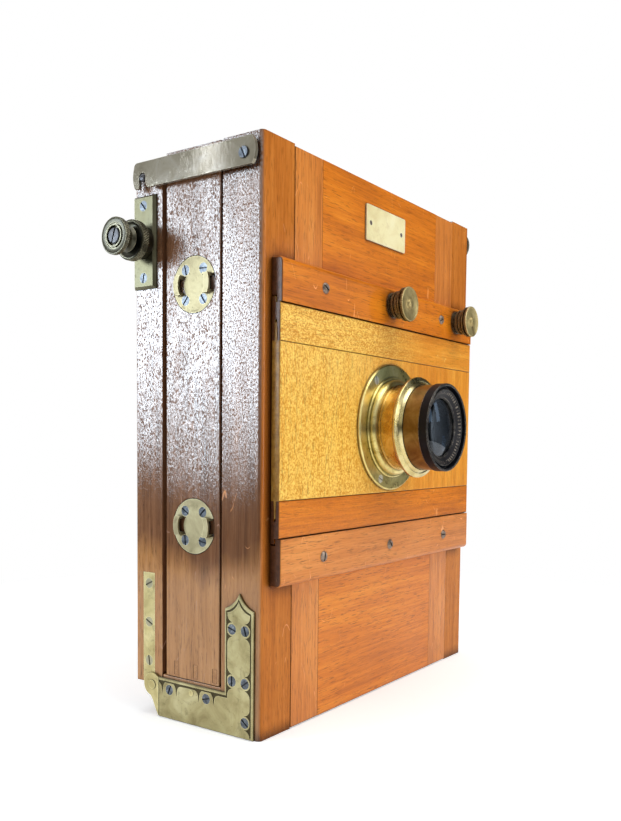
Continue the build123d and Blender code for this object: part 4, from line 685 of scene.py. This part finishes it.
ENGRAVING = (SIDE + 1.08) * MM
AGED_BRASS = brass("aged_brass", ((0.25, 0.21, 0.10), (0.38, 0.335, 0.17), (0.50, 0.455, 0.26)), 0.30, 0.75,
                   engraved=ENGRAVING)
FITTING_BRASS = brass("fitting_brass", ((0.090, 0.082, 0.047), (0.132, 0.124, 0.075), (0.19, 0.182, 0.12)),
                      0.30, 0.6, seed=2.0)
STRAP_BRASS = brass("strap_brass", ((0.235, 0.210, 0.150), (0.305, 0.280, 0.212), (0.39, 0.365, 0.30)),
                    0.06, 0.5, seed=3.0, spread=0.05, metallic=0.55)
STRIP_BRASS = brass("strip_brass", ((0.33, 0.27, 0.11), (0.52, 0.45, 0.22), (0.68, 0.60, 0.34)), 0.33, 0.7,
                    seed=5.0)
PLATE_BRASS = brass("handle_plate_brass", ((0.22, 0.185, 0.095), (0.36, 0.315, 0.175), (0.50, 0.45, 0.28)),
                    0.36, 0.6, (0.10, 0.085, 0.04), seed=7.0, metallic=0.6)
NAME_BRASS = brass("name_plate_brass", ((0.80, 0.68, 0.34), (0.90, 0.82, 0.48), (0.95, 0.90, 0.62)),
                   0.40, 0.35, (0.40, 0.24, 0.09), seed=9.0, scratches=0.3, metallic=0.25)
FLANGE_BRASS = turned_brass("flange_brass", ((0.40, 0.31, 0.09), (0.68, 0.57, 0.21), (0.88, 0.78, 0.38)),
                            0.25)
BRIGHT_BRASS = turned_brass("bright_brass", ((0.38, 0.29, 0.10), (0.64, 0.54, 0.24), (0.84, 0.74, 0.44)),
                            0.22, foot=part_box("iris_ring")[0].y + 3.1 * MM)
SCREW_BRASS = turned_brass("flange_screw_brass",
                           ((0.55, 0.50, 0.34), (0.82, 0.78, 0.60), (0.94, 0.92, 0.80)), 0.34)
AMBER_BRASS = turned_brass("amber_brass", ((0.36, 0.20, 0.04), (0.60, 0.38, 0.09), (0.80, 0.58, 0.20)),
                           0.22, blacken=17.7 * MM, coat=0.4)
DARK_AMBER = turned_brass("dark_amber_lacquer", ((0.12, 0.070, 0.020), (0.21, 0.130, 0.040),
                                                 (0.34, 0.235, 0.085)), 0.30, coat=0.35)
RACK_BRASS = brass("rack_brass", ((0.50, 0.38, 0.14), (0.70, 0.55, 0.24), (0.82, 0.68, 0.36)), 0.25, 0.4,
                   seed=11.0)
KNOB_FACE = brass("knob_face_brass", ((0.26, 0.19, 0.08), (0.46, 0.37, 0.17), (0.68, 0.57, 0.32)), 0.45, 0.3,
                  (0.05, 0.03, 0.012), seed=13.0)
BRONZE = worn_dark("bronzed_knobs", (0.050, 0.047, 0.028), (0.46, 0.43, 0.28), 0.28, 0.9, 0.9 * MM)
BLACK_ENAMEL = worn_dark("black_enamel", (0.004, 0.005, 0.009), (0.50, 0.47, 0.40), 0.34, 0.0, 0.6 * MM,
                         coat=0.04, shine=0.15)
MARKED_RING = scale_ring("marked_black_ring")
BLUED = ((0.035, 0.042, 0.050), (0.11, 0.125, 0.145), (0.32, 0.36, 0.40))
SCREW_STEEL = steel("screw_steel", BLUED, 0.28)
TAIL_STEEL = steel("tailboard_screw_steel", BLUED, 0.28, pale_below=0.12)
BROWN_STEEL = steel("brown_steel", ((0.09, 0.065, 0.05), (0.30, 0.235, 0.185), (0.60, 0.52, 0.45)),
                    0.38, 0.5)
DARK_STEEL = steel("dark_steel", ((0.025, 0.025, 0.028), (0.070, 0.072, 0.078), (0.18, 0.18, 0.19)), 0.28)
BLUED_STEEL = steel("iris_steel", ((0.006, 0.006, 0.009), (0.012, 0.013, 0.018), (0.022, 0.024, 0.032)),
                    0.45, 0.1)
LENS_GLASS = lens_glass("lens_glass")
GROUND_GLASS = ground_glass("ground_glass")
LEATHER = leather("bellows_leather")


# ---- Wooden pieces --------------------------------------------------------------------

# node: (front tones, grain, seed, edge rounding in metres, extra settings)
WOODEN = {
    # the stiles' wider shade paints the shadow that the battens and lens board cast on the stile's front beside
    # their ends
    "front_stile_left": (STILE_RED, "Z", 1, 0.0004, {"side": True, "wear": 0.8, "shade": 0.007}),
    "front_stile_right": (STILE_RED, "Z", 2, 0.0004, {"side": True, "shade": 0.007}),
    "front_top_rail": (INSIDE, "X", 3, 0.0004, {}),
    "front_bottom_rail": (INSIDE, "X", 4, 0.0004, {}),
    "base_board": (SIDE_DARK, "X", 5, 0.0005, {"whole": True, "wear": 0.9}),
    "standard_left": (SIDE_DARK, "Z", 6, 0.0003, {"whole": True, "wear": 0.9}),
    "standard_right": (SIDE_DARK, "Z", 7, 0.0003, {"whole": True, "wear": 0.7}),
    "standard_top": (SIDE_DARK, "X", 8, 0.0003, {"whole": True}),
    "standard_bottom": (SIDE_DARK, "X", 9, 0.0003, {"whole": True}),
    "rising_panel": (FRONT_RED, "X", 10, 0.0003, {}),
    "rising_panel_cleats": (FRONT_WARM, "Z", 11, 0.0003, {}),
    "upper_batten": (FRONT_RED, "X", 12, 0.0004, {"wear": 0.8, "ends": END_GRAIN}),
    "lower_batten": (FRONT_WARM, "X", 13, 0.0004, {"wear": 1.0, "ends": END_GRAIN}),
    "lens_board_panel": (GOLDEN, "Z", 14, 0.0005, {"fleck": 0.9, "wear": 0.3, "ends": GOLDEN_END,
                                                          "warm": ORANGE}),
    "lens_board_cleats": (FRONT_RED, "X", 15, 0.0005, {"fleck": 0.15, "ends": END_GRAIN}),
    "tailboard_rail_left": (SIDE_DARK, "Z", 16, 0.0004, {"side": True, "wear": 0.9}),
    "tailboard_rail_right": (SIDE_DARK, "Z", 17, 0.0004, {"side": True}),
    "tailboard_cross_rails": (SIDE_DARK, "X", 18, 0.0004, {"whole": True}),
    "tailboard_panel": (SIDE_BROWN, "Z", 19, 0.0003, {"wear": 0.7}),
}


def make_wooden_pieces():
    """Eased copies of the plain boards, each with its own piece of grain."""
    for node, (tones, grain, seed, rounding, more) in WOODEN.items():
        piece = softened(node, rounding)
        paint(piece, wood("wood_" + node, tones, grain, seed, **more))
        if node == "lens_board_cleats":
            # the upper cleat is as pale as the panel, with the same painted shading towards +X
            pale = wood("wood_upper_cleat", GOLDEN, grain, 26, fleck=0.95, ends=END_GRAIN, warm=ORANGE)
            piece.data.materials.append(pale)
            paint_where(piece, 1, lambda c: c.z > LENS_AXIS.z)


def make_framed_pieces():
    """Frames whose uprights and cross members have different grain."""
    # node, seed, and how far the cross members reach from the middle in mm
    for node, seed, reach in (
        ("bellows_frame", 20, 63.0), ("focusing_screen_frame", 22, 63.0), ("bed_slider", 24, 66.5),
    ):
        piece = softened(node, 0.4 * MM)
        upright = wood(f"wood_{node}_upright", INSIDE, "Z", seed)
        cross = wood(f"wood_{node}_cross", INSIDE, "X", seed + 1)
        paint(piece, upright, cross)
        paint_where(piece, 1, lambda c, inner=reach * MM: abs(c.x) < inner)


# ---- Bellows --------------------------------------------------------------------------

def make_bellows():
    """Pleated leather between the front frame and its rear frame, folded flat."""
    low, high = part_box("bellows")
    folds = 9
    inset, thick = 0.0155, 0.0007
    half_x, half_z = (high.x - low.x) / 2 - thick, (high.z - low.z) / 2 - thick
    middle_z = (high.z + low.z) / 2
    bm = bmesh.new()
    rings = []
    for index in range(2 * folds + 1):
        outer = index % 2 == 1
        y = low.y + (high.y - low.y) * index / (2 * folds)
        drop = 0.0 if outer else inset - thick
        cut = 0.006 if outer else 0.002
        x, z = half_x - drop, half_z - drop
        corners = [(x - cut, z), (x, z - cut), (x, -z + cut), (x - cut, -z),
                   (-x + cut, -z), (-x, -z + cut), (-x, z - cut), (-x + cut, z)]
        rings.append([bm.verts.new((cx, y, middle_z + cz)) for cx, cz in corners])
    for near, far in zip(rings, rings[1:]):
        for index in range(8):
            after = (index + 1) % 8
            bm.faces.new((near[index], near[after], far[after], far[index]))
    bmesh.ops.recalc_face_normals(bm, faces=bm.faces)
    bmesh.ops.solidify(bm, geom=bm.faces[:] + bm.edges[:] + bm.verts[:], thickness=thick)
    folded = [e for e in bm.edges if len(e.link_faces) == 2 and e.calc_face_angle(0.0) > 1.0]
    bmesh.ops.bevel(bm, geom=folded, offset=0.0002, segments=2, profile=0.5, affect="EDGES",
                    clamp_overlap=True)
    mesh = finish_mesh(bm, "bellows_pleats", 60.0)
    link("bellows_pleats", mesh, BODY_OF["bellows"], "leather", "bellows", materials=(LEATHER,))


# ---- Knurled knobs --------------------------------------------------------------------

def millimetres(rows):
    """Rows of (radius, distance[, ripple depth, ripples, phase]) in mm, filled up and in metres."""
    full = [(*row, 0.0, 0, 0.0)[:5] if len(row) == 2 else row for row in rows]
    return [(r * MM, d * MM, depth * MM, n, phase) for r, d, depth, n, phase in full]


def knurl(radius, start, end, depth, count, rows=5, slant=0.0):
    """Rows of a knurled band. Slant turns each row against the one before, in radians."""
    return [
        (radius, start + (end - start) * i / (rows - 1), depth, count, slant * count * i)
        for i in range(rows)
    ]


def make_clamp_knobs():
    """Brass clamp knobs: ribbed stem, two knurled flanges with a groove, small boss."""
    for node in ("shift_clamp_knob", "rise_clamp_knob"):
        low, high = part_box(node)
        x, z = (low.x + high.x) / 2, (low.z + high.z) / 2
        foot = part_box("upper_batten")[0].y - 0.1 * MM
        stud_end = (foot - high.y) / MM
        count = 60
        rows = [(0, stud_end), (1.8, stud_end), (1.8, 0), (6.6, 0), (6.6, 1.2), (5.9, 1.5), (5.9, 2.4),
                (6.9, 2.6)]
        rows += knurl(7.1, 2.7, 3.7, 0.18, count, 3)
        rows += [(6.0, 3.8), (6.0, 4.4)]
        rows += knurl(7.1, 4.5, 5.8, 0.18, count, 3)
        rows += [(5.8, 6.0), (5.8, 6.7), (8.2, 6.9)]
        rows += knurl(8.6, 7.1, 8.0, 0.26, count, 3)
        rows += [(7.8, 8.1), (6.9, 8.2), (6.9, 8.75), (8.3, 8.9)]
        rows += knurl(8.9, 9.05, 10.2, 0.26, count, 4)
        rows += [(8.7, 10.4), (8.4, 10.55), (8.1, 10.5), (7.8, 10.25), (6.5, 10.0), (5.0, 9.9), (3.6, 10.0),
                 (2.9, 10.2), (2.5, 10.6), (2.2, 11.1), (1.6, 11.4), (0, 11.45)]
        bm = revolved(millimetres(rows), (x, foot, z), (0, -1, 0), 6 * count)
        mesh = finish_mesh(bm, node + "_turned", 28.0)
        knob = link(node + "_turned", mesh, BODY_OF[node], "bronze", node, materials=(BRONZE, KNOB_FACE))
        face_y = foot - 9.85 * MM
        paint_where(knob, 1, lambda c, y=face_y: c.y < y)


def make_focus_knob():
    """Focusing knob with its knurled disc and slotted steel screw."""
    low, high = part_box("focus_knob")
    start = -high.x / MM - SIDE
    face = -low.x / MM - SIDE
    origin = (-SIDE * MM, KNOB_AXIS.y, KNOB_AXIS.z)
    count = 64
    rows = [(2.5, start), (5.6, start), (6.0, start + 0.8), (5.3, start + 2.0), (5.0, start + 3.2),
            (5.2, start + 4.6), (6.2, start + 5.9), (8.1, start + 6.7)]
    rows += knurl(8.6, start + 7.0, face - 0.5, 0.28, count, 5, 0.035)
    rows += [(8.3, face - 0.35), (7.9, face - 0.3), (7.4, face - 0.5), (5.9, face - 0.5), (5.7, face - 0.9),
             (5.4, face - 0.9), (5.2, face), (4.6, face), (4.4, face - 0.5), (4.3, face - 1.45),
             (0, face - 1.45)]
    bm = revolved(millimetres(rows), origin, (-1, 0, 0), 6 * count)
    link("focus_knob_turned", finish_mesh(bm, "focus_knob_turned", 28.0), BODY_OF["focus_knob"],
         "bronze", "focus_knob", materials=(BRONZE,))
    screw = [(0, face - 1.4), (3.7, face - 1.4), (3.7, face - 0.35), (3.3, face - 0.05), (2.0, face + 0.05),
             (0, face + 0.08)]
    bm = revolved(millimetres(screw), origin, (-1, 0, 0), 72)
    head = link("focus_knob_screw", finish_mesh(bm, "focus_knob_screw"), BODY_OF["focus_knob"], "steel",
                materials=(DARK_STEEL,))
    top = Vector(origin) - Vector((face * MM, 0, 0))
    cut_slot(head, top, (-1, 0, 0), 70.0, 7.8 * MM, 0.9 * MM, 0.7 * MM)


def cut_slot(piece, place, facing, degrees, length, width, depth):
    """Cut a screwdriver slot with an exact boolean, applied to the mesh."""
    mesh = bpy.data.meshes.new("slot_cutter")
    bm = bmesh.new()
    bmesh.ops.create_cube(bm, size=1.0)
    bm.to_mesh(mesh)
    bm.free()
    cutter = bpy.data.objects.new("slot_cutter", mesh)
    bpy.context.scene.collection.objects.link(cutter)
    turn = Vector(facing).to_track_quat("Z", "Y").to_matrix().to_4x4()
    turn = turn @ Matrix.Rotation(math.radians(degrees), 4, "Z")
    size = Matrix.Diagonal((length, width, 2 * depth, 1.0))
    cutter.matrix_world = Matrix.Translation(place) @ turn @ size
    boolean = piece.modifiers.new("slot", "BOOLEAN")
    boolean.object = cutter
    boolean.operation = "DIFFERENCE"
    boolean.solver = "EXACT"
    bpy.context.view_layer.update()
    evaluated = piece.evaluated_get(bpy.context.evaluated_depsgraph_get())
    cut = bpy.data.meshes.new_from_object(evaluated)
    piece.modifiers.clear()
    piece.data = cut
    bpy.data.objects.remove(cutter)
    smooth_with_creases(cut, 32.0)


def make_lock_ring():
    """Lock ring: a slanted-knurled disc on a plain hub, dished on its face."""
    low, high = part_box("lock_ring")
    hub, face = -high.x / MM - SIDE, -low.x / MM - SIDE
    origin = (-SIDE * MM, KNOB_AXIS.y, KNOB_AXIS.z)
    count = 52
    rows = [(4.65, hub), (7.2, hub), (7.4, hub + 0.2), (7.4, face - 4.6), (7.7, face - 4.3),
            (9.1, face - 3.9)]
    rows += knurl(9.5, face - 3.6, face - 0.5, 0.34, count, 9, 0.03)
    rows += [(9.2, face - 0.2), (8.8, face), (8.4, face), (7.9, face - 0.5), (7.0, face - 0.9),
             (2.9, face - 1.2), (2.9, hub + 2.6), (4.65, hub + 2.6), (4.65, hub)]
    bm = revolved(millimetres(rows), origin, (-1, 0, 0), 6 * count)
    link("lock_ring_turned", finish_mesh(bm, "lock_ring_turned", 28.0), BODY_OF["lock_ring"], "bronze",
         "lock_ring", materials=(BRONZE,))


# ---- Everything that keeps its CAD shape ----------------------------------------------

PLAIN_NODES = {
    "tripod_bush": FITTING_BRASS, "corner_bracket_left": AGED_BRASS, "corner_bracket_right": AGED_BRASS,
    "hinge_ears": STRIP_BRASS, "hinge_pins": STRIP_BRASS, "body_screws": SCREW_STEEL,
    "latch_pivots": SCREW_STEEL, "handle_plate_upper": PLATE_BRASS, "handle_plate_lower": PLATE_BRASS,
    "focusing_screen_glass": GROUND_GLASS, "focusing_screen_clips": FITTING_BRASS, "name_plate": NAME_BRASS,
    "rising_front_screws": BROWN_STEEL, "clamp_nuts": FITTING_BRASS, "lens_flange": FLANGE_BRASS,
    "lens_flange_screws": SCREW_BRASS, "lens_barrel": AMBER_BRASS, "front_barrel": DARK_AMBER,
    "lens_hood": BLACK_ENAMEL, "retaining_ring": MARKED_RING, "front_glass": LENS_GLASS,
    "rear_cell": AMBER_BRASS, "rear_glass": LENS_GLASS, "iris_blades": BLUED_STEEL,
    "iris_ring": BRIGHT_BRASS, "latch_strap_left": STRAP_BRASS, "latch_strap_right": STRAP_BRASS,
    "latch_pins": DARK_STEEL, "hinge_strips": STRIP_BRASS, "focus_plates": FITTING_BRASS,
    "tailboard_screws": TAIL_STEEL, "bed_racks": RACK_BRASS, "pinion_shaft": SCREW_STEEL,
}


def paint_plain_nodes():
    for node, material in PLAIN_NODES.items():
        paint(NODES[node], material)


# ---- Floor, light and camera ----------------------------------------------------------

# Strength of the world where it lights the object, and of the floor's own glow
WORLD_LIGHT = 0.34
FLOOR_GLOW = 0.35
# distances at which the floor starts to fade and is plain white
FLOOR_NEAR, FLOOR_FAR = 0.17, 0.42
# What mirror rays see: a room with a darker side, and a pale table that ends a little way off
MIRROR_LIGHT = 0.65
ROOM_LIGHT = 0.04
ROOM_DIRECTION = (0.87, -0.49, 0.05)
TABLE_MIDDLE = (0.17, -0.17, 0.0)
TABLE_REACH = 0.75


def make_floor():
    """Large pale floor that keeps the object's shadow and runs out into plain white."""
    bm = bmesh.new()
    bmesh.ops.create_grid(bm, x_segments=1, y_segments=1, size=6.0)
    mesh = bpy.data.meshes.new("floor")
    bm.to_mesh(mesh)
    bm.free()
    floor = bpy.data.objects.new("floor", mesh)
    floor.location.z = -0.0002
    bpy.context.scene.collection.objects.link(floor)
    s = Shader("pale_floor")
    s.set(Base_Color=(0.88, 0.88, 0.88, 1.0), Roughness=0.9, Specular_IOR_Level=0.0)
    far = s.step(s.measure("LENGTH", s.coords()), FLOOR_NEAR, FLOOR_FAR)
    both = s.tree.nodes.new("ShaderNodeAddShader")
    s.put(both.inputs[0], s.bsdf.outputs[0])
    s.put(both.inputs[1], s.light(FLOOR_GLOW))
    fade = s.choose(far, both.outputs[0], s.light(1.0))
    # in mirror rays the pale table ends, and the dark room starts, a little way off
    reach = s.measure("DISTANCE", s.coords(), TABLE_MIDDLE)
    room = s.step(reach, TABLE_REACH, TABLE_REACH + 0.06)
    mirrored = s.choose(room, both.outputs[0], s.light(ROOM_LIGHT, (1.0, 0.96, 0.90, 1.0)))
    seen, glossy = s.rays()
    surface = s.choose(seen, s.choose(glossy, s.bsdf.outputs[0], mirrored), fade)
    s.put(s.tree.nodes["Material Output"].inputs["Surface"], surface)
    mesh.materials.append(s.material)


def make_world():
    """White where it is seen; weaker where it lights the object; a darker room in mirror rays."""
    world = bpy.data.worlds.new("studio")
    bpy.context.scene.world = world
    world.use_nodes = True
    w = Tree(world.node_tree)
    direction = w.tree.nodes.new("ShaderNodeTexCoord").outputs["Generated"]
    split = w.node("ShaderNodeSeparateXYZ", Vector=direction).outputs
    room = w.measure("DOT_PRODUCT", direction, ROOM_DIRECTION)
    dark_room = w.step(room, 0.25, 0.72, MIRROR_LIGHT, ROOM_LIGHT, True)
    # level rays meet a dark band, but not towards the back right
    band = w.step(w.math("ABSOLUTE", split["Z"]), 0.05, 0.14, 0.15, 1.0, True)
    behind = w.step(split["Y"], 0.2, 0.6, 0.0, 1.0, True)
    right = w.step(split["X"], -0.2, 0.3, 0.0, 1.0, True)
    banded = w.math("MAXIMUM", band, w.math("MULTIPLY", behind, right))
    seen, glossy = w.rays()
    other = w.math("SUBTRACT", 1.0, w.math("MAXIMUM", seen, glossy))
    mirror = w.math("MULTIPLY", glossy, w.math("MULTIPLY", dark_room, banded))
    total = w.math("ADD", w.math("ADD", seen, mirror), w.math("MULTIPLY", other, WORLD_LIGHT))
    background = w.tree.nodes["Background"].inputs
    w.put(background["Color"], (1.0, 1.0, 1.0, 1.0))
    w.put(background["Strength"], total)


def area_light(name, place, target, size, power, colour=(1.0, 1.0, 1.0)):
    data = bpy.data.lights.new(name, "AREA")
    data.shape = "RECTANGLE"
    data.size, data.size_y = size
    data.energy = power
    data.color = colour
    lamp = bpy.data.objects.new(name, data)
    lamp.location = place
    aim = (Vector(target) - Vector(place)).to_track_quat("-Z", "Y")
    lamp.rotation_euler = aim.to_euler()
    bpy.context.scene.collection.objects.link(lamp)


def make_lights():
    area_light("key", (0.10, -0.70, 1.15), (0.0, -0.05, 0.13), (0.80, 0.80), 6.3, (1.0, 0.98, 0.95))
    area_light("front_fill", (0.35, -1.20, 0.30), (0.0, -0.05, 0.14), (0.55, 0.55), 5.4)
    area_light("side_window", (-0.88, 0.75, 0.350), (-0.10, 0.0, 0.182), (0.70, 0.36), 7.8,
               (0.80, 0.90, 1.0))
    area_light("window_edge", (-0.877, 0.699, 0.58), (-0.10, -0.01, 0.258), (0.012, 0.27), 0.14,
               (0.80, 0.86, 1.0))
    area_light("top_fill", (-0.1, 0.1, 1.3), (0.0, 0.0, 0.1), (1.0, 1.0), 6.0)
    for shift in (-0.16, 0.16):
        # the room's window, seen only as a reflection in the lens
        area_light("room_window", (1.44 + shift, -1.42 + shift, 0.50), tuple(LENS_AXIS), (0.20, 0.40), 0.45,
                   (0.55, 0.75, 1.0))


# Camera: a normal lens close to the object, its back raised
CAMERA_PLACE = (-0.38875, -0.27586, 0.13483)
CAMERA_AZIMUTH = math.radians(-55.315)
CAMERA_DIP = math.radians(3.487)
CAMERA_ROLL = math.radians(0.663)
FOCAL_LENGTH = 36.9296
CAMERA_SHIFT = (-0.018867, 0.099488)


def make_camera():
    forward = Vector((-math.sin(CAMERA_AZIMUTH) * math.cos(CAMERA_DIP),
                      math.cos(CAMERA_AZIMUTH) * math.cos(CAMERA_DIP), -math.sin(CAMERA_DIP)))
    level = Vector((math.cos(CAMERA_AZIMUTH), math.sin(CAMERA_AZIMUTH), 0.0))
    upright = level.cross(forward)
    right = level * math.cos(CAMERA_ROLL) + upright * math.sin(CAMERA_ROLL)
    up = upright * math.cos(CAMERA_ROLL) - level * math.sin(CAMERA_ROLL)
    turn = Matrix((right, up, -forward)).transposed().to_4x4()
    data = bpy.data.cameras.new("camera")
    data.sensor_width = 36.0
    data.sensor_fit = "AUTO"
    data.lens = FOCAL_LENGTH
    data.shift_x, data.shift_y = CAMERA_SHIFT
    data.clip_start = 0.01
    data.clip_end = 50.0
    camera = bpy.data.objects.new("camera", data)
    camera.matrix_world = Matrix.Translation(CAMERA_PLACE) @ turn
    bpy.context.scene.collection.objects.link(camera)
    bpy.context.scene.camera = camera


# ---- Make it --------------------------------------------------------------------------

make_floor()
make_world()
make_lights()
make_camera()
paint_plain_nodes()
make_wooden_pieces()
make_framed_pieces()
make_bellows()
make_clamp_knobs()
make_focus_knob()
make_lock_ring()

bpy.context.scene.view_settings.view_transform = "Standard"
bpy.context.view_layer.update()
